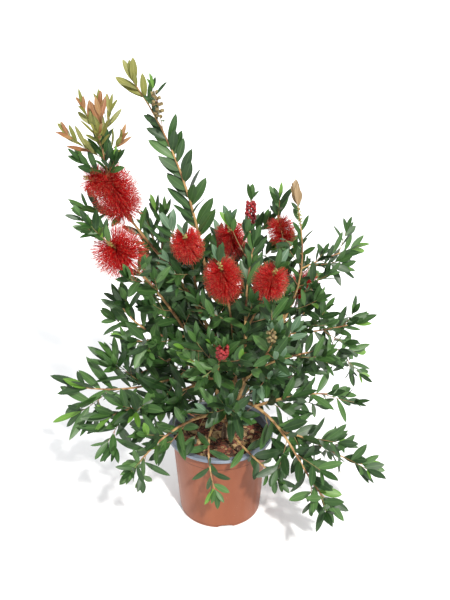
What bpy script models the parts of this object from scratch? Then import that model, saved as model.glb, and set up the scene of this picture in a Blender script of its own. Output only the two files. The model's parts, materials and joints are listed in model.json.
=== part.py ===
"""A young bottlebrush shrub in its terracotta-coloured nursery pot.

The pot stands on z = 0 with its axis on the Z axis, and the plant's front faces -Y.
Every limb grows by one rule: it sets off from its parent with a heading and a rise,
and both change evenly along its length. The first, bare part of a limb is a bough.
The rest is the stem of one mass of foliage, with side twigs, leaves and flower spikes.
"""

import math
import random
from dataclasses import dataclass

import bmesh
import bpy
import numpy as np
from mathutils import Matrix, Vector

# Pot
POT_HEIGHT = 0.196
RIM_RADIUS = 0.1125
RIM_FLANGE = 0.009
SKIRT_DEPTH = 0.007
SKIRT_WALL = 0.0016
BODY_TOP_RADIUS = 0.1022
BODY_BASE_RADIUS = 0.0868
POT_WALL = 0.0020
FLOOR_THICK = 0.009
COLLAR_DROP = 0.025
COLLAR_STEP = 0.0008
FOOT_HEIGHT = 0.006
POT_STEPS = 36
NOTCH_COUNT = 4
NOTCH_WIDTH = 0.034
NOTCH_HEIGHT = 0.006
NOTCH_INNER = 0.055
NOTCH_TURN = math.radians(-82)
DRAIN_RADIUS = 0.005
DRAIN_PLACE = 0.070

# Soil and trunk
GAP = 0.0003
SOIL_TOP = 0.175
TRUNK_FOOT = Vector((0.011, 0.0, SOIL_TOP + GAP))
TRUNK_FORK = Vector((0.013, -0.002, 0.237))
TRUNK_LEAN = 0.0015
TRUNK_RADIUS = 0.0062
TRUNK_FLARE = 0.0050
TRUNK_TAPER = 0.12
TRUNK_STEPS = 8

# Limbs
PATH_STEPS = 16
FOOT_RADIUS = 0.0026
FOOT_RADIUS_PER_METRE = 0.0038
TIP_RADIUS = 0.0013
CHILD_SHARE = 0.85
BOUGH_SIDES = 6
TWIG_SIDES = 3
TWIG_FATNESS = 1.35
STEM_SPAN = 0.045
STEM_LAP = 0.002

# Leaves
LEAF_LENGTH = 0.076
LEAF_WIDTH = 0.0240
LEAF_THICK = 0.0016
LEAF_WIDEST = 0.42
LEAF_SPACING = 0.020
LEAF_VARIETY = 0.14
GOLDEN_TURN = math.radians(137.5)
LEAF_SPREAD_FOOT = math.radians(58)
LEAF_SPREAD_TIP = math.radians(24)
LEAF_LIGHTWARD = 0.22
LEAF_TRIES = (1.0, 0.72, 0.48)
LEAF_ROOT = 0.4
TIP_LEAF = 0.055
TIP_LEAF_SPREAD = 0.12

# Side twigs
TWIG_SPACING = 0.072
TWIG_SHARE = 0.25
TWIG_LONGEST = 0.075
TWIG_SPREAD = math.radians(46)
TWIG_RADIUS = 0.0013
TWIG_LEAVES = 2
TWIG_LEAF_SCALES = (0.80, 0.95)
TWIG_TIP_SPREAD = 0.15
TWIG_SWINGS = (0.0, 1.3, -1.3, 2.6)

# Space that a mass keeps to
SPACE_REACH = 0.115
SPACE_MARGIN = 0.0012
BARK_MARGIN = 0.0015
LOWEST = 0.012
POT_MARGIN = 0.005

SPIKE_SEGMENTS = 10
SPIKE_RINGS = 6
SPIKE_BRISTLE = 0.16

COLOURS = {
    "pot": ((0.54, 0.17, 0.08), 0.55),
    "soil": ((0.07, 0.03, 0.018), 0.95),
    "bark": ((0.20, 0.12, 0.065), 0.85),
    "foliage": ((0.045, 0.14, 0.035), 0.55),
}


@dataclass
class Spike:
    """A bottlebrush flower round its stem, at a share of the limb's length."""

    at: float
    length: float = 0.080
    width: float = 0.068


@dataclass
class Limb:
    """One shoot of the shrub, from its seat on its parent to the tip of its last leaf."""

    name: str
    parent: str
    at: float
    heading: float
    turn: float
    rise: float
    lift: float
    length: float
    bare: float
    sway: float = 0.0
    spikes: tuple = ()
    bough: bool = True

    @property
    def stem_end(self):
        """The share of the length at which the stem ends and its last leaf begins."""
        return 1 - TIP_LEAF / self.length

    @property
    def leafy(self):
        """The length of stem that carries leaves."""
        return self.length * (self.stem_end - self.bare)


# Each limb: name, parent, place on the parent, heading (0 right, 90 back, 180 left), its turn,
# rise above level, its lift, length, bare share and sway, a bow in the rise half way along.
LIMBS = [
    Limb("left_leader", "trunk", 0.86, 177, 35, 75, -28, 0.545, 0.50,
         spikes=(Spike(0.86, 0.085, 0.074),)),
    Limb("high_leader", "trunk", 0.95, 113, 147, 89, 11, 0.770, 0.42, -39, (Spike(0.74, 0.108, 0.068),)),
    Limb("tall_leader", "trunk", 0.98, 161, -8, 81, -36, 0.780, 0.48, 16),
    Limb("middle_leader", "trunk", 0.99, -54, -69, 46, 87, 0.495, 0.62),
    Limb("centre_shoot", "middle_leader", 0.12, -103, -38, 89, -19, 0.400, 0.30,
         spikes=(Spike(0.79, 0.085, 0.070),)),
    Limb("rear_shoot", "trunk", 0.92, 78, -23, 63, 47, 0.470, 0.30, spikes=(Spike(0.85, 0.070, 0.062),)),
    Limb("flower_shoot", "high_leader", 0.32, -99, -2, 72, -25, 0.310, 0.20,
         spikes=(Spike(0.70, 0.080, 0.062),)),
    Limb("right_leader", "middle_leader", 0.25, 56, -124, 35, 79, 0.450, 0.68),
    Limb("scarlet_shoot", "middle_leader", 0.55, -1, -43, 66, 5, 0.195, 0.20,
         spikes=(Spike(0.65, 0.066, 0.062),)),
    Limb("inner_shoot", "right_leader", 0.36, 69, 48, 89, -43, 0.225, 0.22,
         spikes=(Spike(0.83, 0.055, 0.052),)),
    Limb("upper_right", "right_leader", 0.64, 29, 0, 11, -13, 0.170, 0.18),
    Limb("right_bough", "right_leader", 0.29, -3, 9, 3, 16, 0.215, 0.20),
    Limb("right_low", "right_leader", 0.09, -3, 51, 33, -78, 0.295, 0.25),
    Limb("sweep", "middle_leader", 0.16, -42, 7, 20, -37, 0.335, 0.46, -51),
    Limb("right_lower", "sweep", 0.14, 3, 33, 22, -61, 0.240, 0.28),
    Limb("right_tip", "sweep", 0.37, 2, -6, -10, 20, 0.240, 0.22, -32),
    Limb("left_upper", "left_leader", 0.40, -151, -77, 1, 72, 0.215, 0.22),
    Limb("left_first", "left_leader", 0.33, 166, 3, -29, -8, 0.200, 0.25),
    Limb("left_second", "left_leader", 0.26, -161, -24, -25, 41, 0.305, 0.33),
    Limb("left_third", "left_leader", 0.18, -155, 0, -6, -1, 0.275, 0.30),
    Limb("left_low", "trunk", 0.77, -121, -34, 47, -120, 0.345, 0.36, 6, bough=False),
    Limb("front_twig", "trunk", 0.60, -131, 78, 55, -105, 0.225, 0.42, -39, bough=False),
    Limb("front_right_twig", "trunk", 0.64, -80, 55, 4, -45, 0.220, 0.45, 9, bough=False),
    Limb("front_spray", "trunk", 0.82, -91, 6, 42, -2, 0.275, 0.28, bough=False),
    Limb("front_left", "left_leader", 0.12, -93, 18, 44, 13, 0.350, 0.30,
         spikes=(Spike(0.79, 0.038, 0.028),)),
    Limb("front_right", "middle_leader", 0.30, -58, -13, 47, 16, 0.265, 0.22),
    Limb("rear_bough", "trunk", 0.84, 66, 20, 55, 22, 0.485, 0.34,
         spikes=(Spike(0.90, 0.040, 0.030),)),
    Limb("rear_left", "high_leader", 0.20, 127, 0, 38, -38, 0.300, 0.28,
         spikes=(Spike(0.76, 0.078, 0.066),)),
    Limb("rear_right", "middle_leader", 0.20, 62, 0, 36, -40, 0.400, 0.30,
         spikes=(Spike(0.78, 0.082, 0.068),)),
    Limb("rear_low_left", "trunk", 0.70, 132, 0, 27, -34, 0.300, 0.30, bough=False),
    Limb("rear_low_right", "trunk", 0.74, 52, 0, 30, -32, 0.305, 0.30, bough=False),
]


def remove_everything():
    """Start from an empty scene."""
    for obj in list(bpy.data.objects):
        bpy.data.objects.remove(obj, do_unlink=True)


def new_collection(name):
    """A named collection in the scene."""
    collection = bpy.data.collections.new(name)
    bpy.context.scene.collection.children.link(collection)
    return collection


def new_material(name, kind):
    """A plain finish in the part's own colour."""
    colour, roughness = COLOURS[kind]
    material = bpy.data.materials.new(name)
    material.use_nodes = True
    shader = material.node_tree.nodes["Principled BSDF"]
    shader.inputs["Base Color"].default_value = (*colour, 1.0)
    shader.inputs["Roughness"].default_value = roughness
    shader.inputs["Metallic"].default_value = 0.0
    return material


def new_object(name, mesh, collection, kind=None):
    """An object for a mesh, with a material of its own if it is a part."""
    obj = bpy.data.objects.new(name, mesh)
    collection.objects.link(obj)
    if kind:
        mesh.materials.clear()
        mesh.materials.append(new_material(name, kind))
    return obj


def evaluated_mesh(obj):
    """The object's mesh with its modifiers or its curve's bevel applied."""
    bpy.context.view_layer.update()
    depsgraph = bpy.context.evaluated_depsgraph_get()
    return bpy.data.meshes.new_from_object(obj.evaluated_get(depsgraph))


def tidy_mesh(mesh, main_shell=False):
    """Weld loose caps, point the faces out and, if asked, keep only the largest shell."""
    bm = bmesh.new()
    bm.from_mesh(mesh)
    bmesh.ops.remove_doubles(bm, verts=bm.verts, dist=1e-6)
    if main_shell:
        keep_main_shell(bm)
    bmesh.ops.recalc_face_normals(bm, faces=bm.faces)
    bm.to_mesh(mesh)
    bm.free()


def keep_main_shell(bm):
    """Drop loose scraps and the skins of sealed hollows."""
    bm.faces.ensure_lookup_table()
    unseen = set(bm.faces)
    shells = []
    while unseen:
        start = unseen.pop()
        shell, edge_of_search = {start}, [start]
        while edge_of_search:
            face = edge_of_search.pop()
            for edge in face.edges:
                for other in edge.link_faces:
                    if other in unseen:
                        unseen.discard(other)
                        shell.add(other)
                        edge_of_search.append(other)
        shells.append(shell)
    shells.sort(key=shell_size, reverse=True)
    spare = [face for shell in shells[1:] for face in shell]
    if spare:
        bmesh.ops.delete(bm, geom=spare, context="FACES")


def shell_size(shell):
    """The diagonal of a shell's box, which is largest for the outer skin."""
    points = [vert.co for face in shell for vert in face.verts]
    low = Vector([min(point[i] for point in points) for i in range(3)])
    high = Vector([max(point[i] for point in points) for i in range(3)])
    return (high - low).length


# Pot and soil


def pot_outer_radius(z):
    """Radius of the pot's plain outer wall at a height."""
    share = z / (POT_HEIGHT - 0.002)
    return BODY_BASE_RADIUS + (BODY_TOP_RADIUS - BODY_BASE_RADIUS) * share


def pot_inner_radius(z):
    """Radius of the pot's inner wall at a height."""
    return pot_outer_radius(z) - POT_WALL


def pot_profile():
    """The pot's section: up the inner wall, over the rim and down the outer side."""
    top = POT_HEIGHT
    under_flange = top - 0.0018
    collar = top - SKIRT_DEPTH - COLLAR_DROP
    lip = RIM_RADIUS - RIM_FLANGE - POT_WALL
    return [
        (0.0, FLOOR_THICK),
        (pot_inner_radius(FLOOR_THICK), FLOOR_THICK),
        (pot_inner_radius(top - 0.003), top - 0.003),
        (lip + 0.0012, top),
        (RIM_RADIUS - 0.001, top),
        (RIM_RADIUS, top - 0.001),
        (RIM_RADIUS, top - SKIRT_DEPTH),
        (RIM_RADIUS - SKIRT_WALL, top - SKIRT_DEPTH),
        (RIM_RADIUS - SKIRT_WALL, under_flange),
        (pot_outer_radius(under_flange), under_flange),
        (pot_outer_radius(collar + COLLAR_STEP), collar + COLLAR_STEP),
        (pot_outer_radius(collar) - COLLAR_STEP, collar),
        (pot_outer_radius(FOOT_HEIGHT) - COLLAR_STEP, FOOT_HEIGHT),
        (pot_outer_radius(FOOT_HEIGHT) - 2 * COLLAR_STEP, FOOT_HEIGHT - COLLAR_STEP),
        (BODY_BASE_RADIUS - 2 * COLLAR_STEP, 0.0),
        (0.0, 0.0),
    ]


def profile_mesh(name, points):
    """An open line of edges in the XZ plane, ready for a Screw modifier."""
    bm = bmesh.new()
    verts = [bm.verts.new((radius, 0.0, z)) for radius, z in points]
    for first, second in zip(verts, verts[1:]):
        bm.edges.new((first, second))
    mesh = bpy.data.meshes.new(name)
    bm.to_mesh(mesh)
    bm.free()
    return mesh


def add_screw(obj):
    """Turn the profile round the Z axis."""
    screw = obj.modifiers.new("turned", "SCREW")
    screw.steps = POT_STEPS
    screw.render_steps = POT_STEPS
    screw.use_merge_vertices = True
    screw.merge_threshold = 0.00001
    screw.use_smooth_shade = False


def make_pot(parts, cutters):
    """The pot, with its drainage notches and holes left as live cuts."""
    pot = new_object("pot", profile_mesh("pot", pot_profile()), parts, "pot")
    add_screw(pot)
    for i in range(NOTCH_COUNT):
        angle = NOTCH_TURN + i * math.tau / NOTCH_COUNT
        turned = Matrix.Rotation(angle, 4, "Z")
        reach = BODY_BASE_RADIUS + 0.01 - NOTCH_INNER
        box = Matrix.Translation((NOTCH_INNER + reach / 2, 0.0, 0.0)) @ Matrix.Diagonal(
            (reach, NOTCH_WIDTH, 2 * NOTCH_HEIGHT, 1.0)
        )
        add_cutter(f"notch_{i}", cutters, lambda bm: bmesh.ops.create_cube(bm, size=1.0), turned @ box)
        drill = Matrix.Translation((DRAIN_PLACE, 0.0, FLOOR_THICK))
        add_cutter(f"drain_{i}", cutters, add_drill, turned @ drill)
    cut = pot.modifiers.new("drainage", "BOOLEAN")
    cut.operation = "DIFFERENCE"
    cut.operand_type = "COLLECTION"
    cut.collection = cutters
    cut.solver = "EXACT"
    return pot


def add_drill(bm):
    """The round cutter for one drainage hole."""
    bmesh.ops.create_cone(
        bm, cap_ends=True, segments=12, radius1=DRAIN_RADIUS, radius2=DRAIN_RADIUS, depth=2 * FLOOR_THICK
    )


def add_cutter(name, cutters, shape, place):
    """A hidden wire-frame cutter, made by a bmesh call and put in its place."""
    bm = bmesh.new()
    shape(bm)
    bmesh.ops.transform(bm, matrix=place, verts=bm.verts)
    mesh = bpy.data.meshes.new(name)
    bm.to_mesh(mesh)
    bm.free()
    cutter = new_object(name, mesh, cutters)
    cutter.hide_render = True
    cutter.display_type = "WIRE"


def make_soil(parts):
    """The potting mix: it fills the pot to two fingers below the rim, clear of the wall."""
    bottom = FLOOR_THICK + GAP
    points = [
        (0.0, SOIL_TOP),
        (pot_inner_radius(SOIL_TOP) - GAP * 1.5, SOIL_TOP),
        (pot_inner_radius(bottom) - GAP * 1.5, bottom),
        (0.0, bottom),
    ]
    soil = new_object("potting_soil", profile_mesh("potting_soil", points), parts, "soil")
    add_screw(soil)


# Limbs


def limb_path(limb, start):
    """The centre line of a limb: its heading turns and its rise changes evenly along it."""
    points = [start.copy()]
    step = limb.length / PATH_STEPS
    for i in range(PATH_STEPS):
        share = (i + 0.5) / PATH_STEPS
        heading = math.radians(limb.heading + limb.turn * share)
        rise = math.radians(limb.rise + limb.lift * share + limb.sway * math.sin(math.pi * share))
        level = math.cos(rise)
        points.append(
            points[-1] + step * Vector((level * math.cos(heading), level * math.sin(heading), math.sin(rise)))
        )
    return points


def trunk_path():
    """The trunk leans a little and bows sideways between its foot and its fork."""
    points = []
    for i in range(6):
        share = i / 5
        point = TRUNK_FOOT.lerp(TRUNK_FORK, share)
        point.y += TRUNK_LEAN * math.sin(math.pi * share)
        points.append(point)
    points[1].x, points[1].y = points[0].x, points[0].y
    return points


def trunk_radius(share):
    """The trunk flares at its foot and tapers to its fork."""
    return TRUNK_RADIUS * (1 - TRUNK_TAPER * share) + TRUNK_FLARE * (1 - share) ** 5


def along(points, share):
    """The point at a share of a path's length."""
    place = min(max(share, 0.0), 1.0) * (len(points) - 1)
    i = min(int(place), len(points) - 2)
    return points[i].lerp(points[i + 1], place - i)


def way_along(points, share, reach=0.03):
    """The direction of a path round a share of its length."""
    return (along(points, share + reach) - along(points, share - reach)).normalized()


def stretch(points, first, last, count):
    """Evenly spaced points on part of a path."""
    return [along(points, first + (last - first) * i / count) for i in range(count + 1)]


class Plant:
    """The paths and radii of the whole shrub, worked out before any mesh is made."""

    def __init__(self):
        self.paths = {"trunk": trunk_path()}
        self.feet = {}
        self.limbs = {limb.name: limb for limb in LIMBS}
        for limb in LIMBS:
            start = along(self.paths[limb.parent], limb.at)
            self.paths[limb.name] = limb_path(limb, start)
            wanted = FOOT_RADIUS + FOOT_RADIUS_PER_METRE * limb.length
            self.feet[limb.name] = min(wanted, CHILD_SHARE * self.radius(limb.parent, limb.at))

    def radius(self, name, share):
        """The radius of a limb or of the trunk at a share of its length."""
        if name == "trunk":
            return trunk_radius(share)
        return self.feet[name] + (TIP_RADIUS - self.feet[name]) * share


def profile_curve(sides):
    """A regular outline, which a curve is given as its section."""
    name = f"section_{sides}"
    if name in bpy.data.objects:
        return bpy.data.objects[name]
    data = bpy.data.curves.new(name, "CURVE")
    data.dimensions = "2D"
    spline = data.splines.new("POLY")
    spline.points.add(sides - 1)
    for i, point in enumerate(spline.points):
        angle = math.tau * i / sides
        point.co = (math.cos(angle), math.sin(angle), 0.0, 1.0)
    spline.use_cyclic_u = True
    section = new_object(name, data, bpy.data.collections["sections"])
    section.hide_render = True
    section.display_type = "WIRE"
    return section


def tube_mesh(name, points, radii, sides):
    """A tapering limb as a mesh, from a curve that carries the radii."""
    data = bpy.data.curves.new(name, "CURVE")
    data.dimensions = "3D"
    data.bevel_mode = "OBJECT"
    data.bevel_object = profile_curve(sides)
    data.use_fill_caps = True
    spline = data.splines.new("POLY")
    spline.points.add(len(points) - 1)
    for spot, point, radius in zip(spline.points, points, radii):
        spot.co = (*point, 1.0)
        spot.radius = radius
    curve = new_object(name, data, bpy.data.collections["sections"])
    mesh = evaluated_mesh(curve)
    bpy.data.objects.remove(curve, do_unlink=True)
    tidy_mesh(mesh)
    return mesh


def is_closed(mesh):
    """Whether every edge joins exactly two faces."""
    uses = {}
    for polygon in mesh.polygons:
        for key in polygon.edge_keys:
            uses[key] = uses.get(key, 0) + 1
    return len(uses) > 0 and all(count == 2 for count in uses.values())


def combine(mesh, others, operation):
    """Join a mesh with a collection's objects, or cut it with them, and keep one shell."""
    for solver in ("EXACT", "MANIFOLD"):
        holder = new_object("work", mesh, bpy.context.scene.collection)
        boolean = holder.modifiers.new("combined", "BOOLEAN")
        boolean.operation = operation
        boolean.operand_type = "COLLECTION"
        boolean.collection = others
        boolean.solver = solver
        result = evaluated_mesh(holder)
        bpy.data.objects.remove(holder, do_unlink=True)
        tidy_mesh(result, main_shell=True)
        if is_closed(result):
            break
    return result


def limb_tube(plant, name, first, last, sides, extra=0.0, fatness=1.0):
    """The tube of part of a limb, optionally thicker all round."""
    length = plant.limbs[name].length
    count = max(2, round(length * (last - first) / STEM_SPAN))
    points = stretch(plant.paths[name], first, last, count)
    radii = [
        plant.radius(name, first + (last - first) * i / count) * fatness + extra for i in range(count + 1)
    ]
    return tube_mesh(name, points, radii, sides)


def make_trunk(plant, parts, clearances):
    """The trunk, cut flat at soil level, and the clear space that its limbs keep to it."""
    path = plant.paths["trunk"]
    points = stretch(path, 0.0, 1.0, 5)
    radii = [trunk_radius(i / 5) for i in range(6)]
    new_object("trunk", tube_mesh("trunk", points, radii, TRUNK_STEPS), parts, "bark")
    fat = [radius + GAP * 1.1 for radius in radii]
    low = points[0] - Vector((0.0, 0.0, 0.002))
    high = points[-1] + (points[-1] - points[-2]).normalized() * GAP
    new_object("fat_trunk", tube_mesh("fat_trunk", [low, *points[1:-1], high], fat, TRUNK_STEPS), clearances)


def make_bough(plant, limb, parts, clearances):
    """A bough runs from its seat on its parent to the foot of its mass."""
    mesh = limb_tube(plant, limb.name, 0.0, limb.bare, BOUGH_SIDES)
    mesh = combine(mesh, clearances, "DIFFERENCE")
    new_object(f"bough_{limb.name}", mesh, parts, "bark")
    last = limb.bare + GAP * 1.1 / limb.length
    fat = limb_tube(plant, limb.name, 0.0, last, BOUGH_SIDES, extra=GAP * 1.3)
    new_object(f"fat_{limb.name}", fat, clearances)


# The space that each mass keeps to


class Space:
    """Where a mass may grow: near its own stem, clear of limbs, pot and other masses."""

    def __init__(self, plant, limb):
        self.own = self.segments(plant, limb, limb.bare if limb.bough else 0.0, 1.0)
        others, wood, thickness = [], [self.trunk_segments(plant)], [TRUNK_RADIUS + TRUNK_FLARE]
        for other in LIMBS:
            first = other.bare if other.bough else 0.0
            if other is not limb:
                others.append(self.segments(plant, other, first, 1.0))
            if other.bough:
                wood.append(self.segments(plant, other, 0.0, other.bare))
                thickness.append(plant.feet[other.name])
        self.others = np.concatenate(others)
        self.wood = np.concatenate(wood)
        counts = [len(part) for part in wood]
        self.thickness = np.repeat(thickness, counts)
        self.spikes = [
            spike_frame(plant, other, spike) for other in LIMBS if other is not limb for spike in other.spikes
        ]

    @staticmethod
    def segments(plant, limb, first, last):
        """Part of a limb's centre line as pairs of ends."""
        points = np.array(stretch(plant.paths[limb.name], first, last, 12))
        return np.stack([points[:-1], points[1:]], axis=1)

    @staticmethod
    def trunk_segments(plant):
        """The trunk's centre line as pairs of ends."""
        points = np.array(plant.paths["trunk"])
        return np.stack([points[:-1], points[1:]], axis=1)

    @staticmethod
    def distances(points, segments):
        """How far each point is from each segment."""
        start = segments[None, :, 0]
        run = segments[None, :, 1] - start
        share = ((points[:, None] - start) * run).sum(-1) / (run * run).sum(-1)
        nearest = start + run * np.clip(share, 0.0, 1.0)[..., None]
        return np.linalg.norm(points[:, None] - nearest, axis=-1)

    def holds(self, points):
        """Whether all the points lie in this mass's space."""
        if points[:, 2].min() < LOWEST:
            return False
        from_axis = np.hypot(points[:, 0], points[:, 1])
        in_pot = (from_axis < RIM_RADIUS + POT_MARGIN) & (points[:, 2] < POT_HEIGHT + POT_MARGIN)
        if in_pot.any():
            return False
        own = self.distances(points, self.own).min(axis=1)
        if (own > SPACE_REACH).any():
            return False
        if (own + SPACE_MARGIN > self.distances(points, self.others).min(axis=1)).any():
            return False
        if (self.distances(points, self.wood) < self.thickness + BARK_MARGIN).any():
            return False
        return not any(inside_spike(points, spike).any() for spike in self.spikes)


def spike_frame(plant, limb, spike):
    """A flower's middle, its direction and its half sizes."""
    path = plant.paths[limb.name]
    return along(path, spike.at), way_along(path, spike.at, 0.04), spike.length / 2, spike.width / 2


def inside_spike(points, frame, margin=0.003):
    """Which points lie in or near a flower."""
    middle, ahead, half_length, half_width = frame
    offset = points - np.array(middle)
    forward = offset @ np.array(ahead)
    sideways = np.linalg.norm(offset - forward[:, None] * np.array(ahead), axis=1)
    grow = 1 + SPIKE_BRISTLE / 2
    long_share = forward / (half_length * grow + margin)
    return long_share**2 + (sideways / (half_width * grow + margin)) ** 2 < 1


# Twigs, leaves and flowers


def side_directions(ahead):
    """Two directions square to a twig."""
    first = ahead.cross(Vector((0.0, 0.0, 1.0)))
    if first.length < 0.05:
        first = Vector((1.0, 0.0, 0.0))
    first.normalize()
    return first, first.cross(ahead).normalized()


def leaning(ahead, angle, spread):
    """A direction that leaves a twig at an angle round it and a spread from it."""
    first, second = side_directions(ahead)
    return ahead * math.cos(spread) + (first * math.cos(angle) + second * math.sin(angle)) * math.sin(spread)


def leaf_shape():
    """A leaf of one metre along X from its root: eight faces, widest before its middle."""
    bm = bmesh.new()
    bmesh.ops.create_uvsphere(bm, u_segments=4, v_segments=2, radius=0.5)
    for vert in bm.verts:
        if abs(vert.co.x) < 0.1:
            vert.co.x += LEAF_WIDEST - 0.5
        vert.co.x += 0.5
    mesh = bpy.data.meshes.new("leaf")
    bm.to_mesh(mesh)
    bm.free()
    return mesh


def leaf_place(root, ahead, facing, size):
    """The matrix that puts a leaf at its root, pointing ahead, with its blade facing a way."""
    face = (facing - ahead * facing.dot(ahead)).normalized()
    side = face.cross(ahead)
    length, width, thick = size
    columns = [(*(ahead * length), 0), (*(side * width), 0), (*(face * thick), 0), (*root, 1)]
    return Matrix(columns).transposed()


def leaf_outline(place):
    """Points all over a placed leaf, beyond the stretch that is sunk in its twig."""
    points = []
    for i in range(3, 11):
        share = i / 10
        half = 0.5 * (share / LEAF_WIDEST if share < LEAF_WIDEST else (1 - share) / (1 - LEAF_WIDEST))
        points += [place @ Vector((share, side * half, 0.0)) for side in (-1, 0, 1)]
    return np.array(points)


def in_a_spike(share, limb, core):
    """Whether a share of a limb's length is in the core of one of its own flowers."""
    return any(abs(share - spike.at) * limb.length < core * spike.length / 2 for spike in limb.spikes)


def grow_leaf(seat, ahead, radius, angle, spread, scale, space, leaf, growth):
    """Put one leaf on a twig, closer to it if need be, or skip it if it has no room."""
    size = (LEAF_LENGTH * scale, LEAF_WIDTH * scale, LEAF_THICK)
    for share in LEAF_TRIES:
        way = leaning(ahead, angle, spread * share)
        way.z += LEAF_LIGHTWARD * share
        way.normalize()
        facing = ahead + Vector((0.0, 0.0, 0.6))
        place = leaf_place(seat - way * radius * LEAF_ROOT, way, facing, size)
        if space.holds(leaf_outline(place)):
            blade = new_object("leaf", leaf, growth)
            blade.matrix_world = place
            return True
    return False


def grow_twig(limb, seat, ahead, length, radius, space, growth, number):
    """A side twig: straight for half its length, then turned a little to the light."""
    bent = (ahead + Vector((0.0, 0.0, 0.35))).normalized()
    points = [seat, seat + ahead * length * 0.5, seat + ahead * length * 0.5 + bent * length * 0.5]
    line = np.array(stretch(points, 0.25, 1.0, 8))
    if not space.holds(line):
        return None
    radii = [radius, radius * 0.8, radius * 0.55]
    new_object(f"twig_{limb.name}_{number}", tube_mesh("twig", points, radii, TWIG_SIDES), growth)
    return points


def make_mass(plant, limb, parts, clearances, leaf):
    """One mass of foliage: its stem, side twigs, leaves and flowers, joined in one solid."""
    draw = random.Random(limb.name)
    space = Space(plant, limb)
    growth = new_collection("growth")
    foot = limb.bare - STEM_LAP / limb.length if limb.bough else 0.0
    stem = limb_tube(plant, limb.name, foot, limb.stem_end, TWIG_SIDES, fatness=TWIG_FATNESS)
    stem = combine(stem, clearances, "DIFFERENCE")
    if not limb.bough:
        near = limb_tube(plant, limb.name, 0.0, limb.bare, BOUGH_SIDES, extra=GAP * 2, fatness=TWIG_FATNESS)
        new_object(f"fat_{limb.name}", near, clearances)
    leaves_on_stem(plant, limb, draw, space, leaf, growth)
    grow_side_twigs(plant, limb, draw, space, leaf, growth)
    for spike in limb.spikes:
        add_spike(plant, limb, spike, growth)
    mesh = combine(stem, growth, "UNION")
    for obj in list(growth.objects):
        bpy.data.objects.remove(obj, do_unlink=True)
    bpy.data.collections.remove(growth)
    new_object(f"mass_{limb.name}", mesh, parts, "foliage")


def leaves_on_stem(plant, limb, draw, space, leaf, growth):
    """Leaves in a spiral along the stem, closing in towards the last one at its tip."""
    path = plant.paths[limb.name]
    count = max(4, round(limb.leafy / LEAF_SPACING))
    turn = draw.uniform(0, math.tau)
    for i in range(count):
        share = limb.bare + (limb.stem_end - limb.bare) * (i + 0.6) / count
        if in_a_spike(share, limb, 0.7):
            continue
        done = (i + 1) / count
        spread = LEAF_SPREAD_FOOT + (LEAF_SPREAD_TIP - LEAF_SPREAD_FOOT) * done**2
        scale = (1.0 - 0.25 * done**3) * draw.uniform(1 - LEAF_VARIETY, 1 + LEAF_VARIETY)
        radius = plant.radius(limb.name, share)
        angle = turn + i * GOLDEN_TURN
        grow_leaf(along(path, share), way_along(path, share), radius, angle, spread, scale, space, leaf, growth)
    end = limb.stem_end
    radius = plant.radius(limb.name, end)
    scale = TIP_LEAF / LEAF_LENGTH
    grow_leaf(along(path, end), way_along(path, end), radius, turn, TIP_LEAF_SPREAD, scale, space, leaf, growth)


def grow_side_twigs(plant, limb, draw, space, leaf, growth):
    """Side twigs along a stem, each with a few leaves and one at its tip."""
    path = plant.paths[limb.name]
    count = round(limb.leafy / TWIG_SPACING)
    turn = draw.uniform(0, math.tau)
    for i in range(count):
        share = limb.bare + (limb.stem_end - limb.bare) * (i + 0.35) / count
        angle = turn + i * GOLDEN_TURN * 1.31
        if in_a_spike(share, limb, 1.0):
            continue
        seat = along(path, share)
        length = min(TWIG_LONGEST, limb.length * TWIG_SHARE) * draw.uniform(0.8, 1.15)
        radius = min(TWIG_RADIUS, plant.radius(limb.name, share) * 0.8) * TWIG_FATNESS
        for swing in TWIG_SWINGS:
            way = leaning(way_along(path, share), angle + swing, TWIG_SPREAD)
            points = grow_twig(limb, seat, way, length, radius, space, growth, i)
            if points:
                leaves_on_twig(points, radius, draw, space, leaf, growth)
                break


def leaves_on_twig(points, radius, draw, space, leaf, growth):
    """A few leaves on the outer half of a side twig, and one at its tip."""
    ahead = (points[-1] - points[-2]).normalized()
    for i in range(TWIG_LEAVES):
        place = 0.46 + 0.44 * (i + 0.5) / TWIG_LEAVES
        spread = LEAF_SPREAD_FOOT * (1 - 0.5 * place)
        scale = draw.uniform(*TWIG_LEAF_SCALES)
        seat = along(points, place)
        grow_leaf(seat, ahead, radius * 0.6, i * GOLDEN_TURN, spread, scale, space, leaf, growth)
    tip = along(points, 0.96)
    grow_leaf(tip, ahead, radius * 0.5, 0.0, TWIG_TIP_SPREAD, TWIG_LEAF_SCALES[0], space, leaf, growth)


def add_spike(plant, limb, spike, growth):
    """A bottlebrush flower: an oval round its stem whose every other point stands out."""
    middle, ahead, half_length, half_width = spike_frame(plant, limb, spike)
    bm = bmesh.new()
    bmesh.ops.create_uvsphere(bm, u_segments=SPIKE_SEGMENTS, v_segments=SPIKE_RINGS, radius=1.0)
    for vert in bm.verts:
        ring = round(math.acos(max(-1.0, min(1.0, vert.co.z))) / math.pi * SPIKE_RINGS)
        spoke = round(math.atan2(vert.co.y, vert.co.x) / math.tau * SPIKE_SEGMENTS)
        out = 1 + SPIKE_BRISTLE * (0.5 if (ring + spoke) % 2 else -0.5)
        if abs(vert.co.z) < 0.99:
            vert.co.x *= out
            vert.co.y *= out
    turned = Vector((0.0, 0.0, 1.0)).rotation_difference(ahead).to_matrix().to_4x4()
    sized = Matrix.Diagonal((half_width, half_width, half_length, 1.0))
    bmesh.ops.transform(bm, matrix=Matrix.Translation(middle) @ turned @ sized, verts=bm.verts)
    mesh = bpy.data.meshes.new("spike")
    bm.to_mesh(mesh)
    bm.free()
    new_object("spike", mesh, growth)


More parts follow.
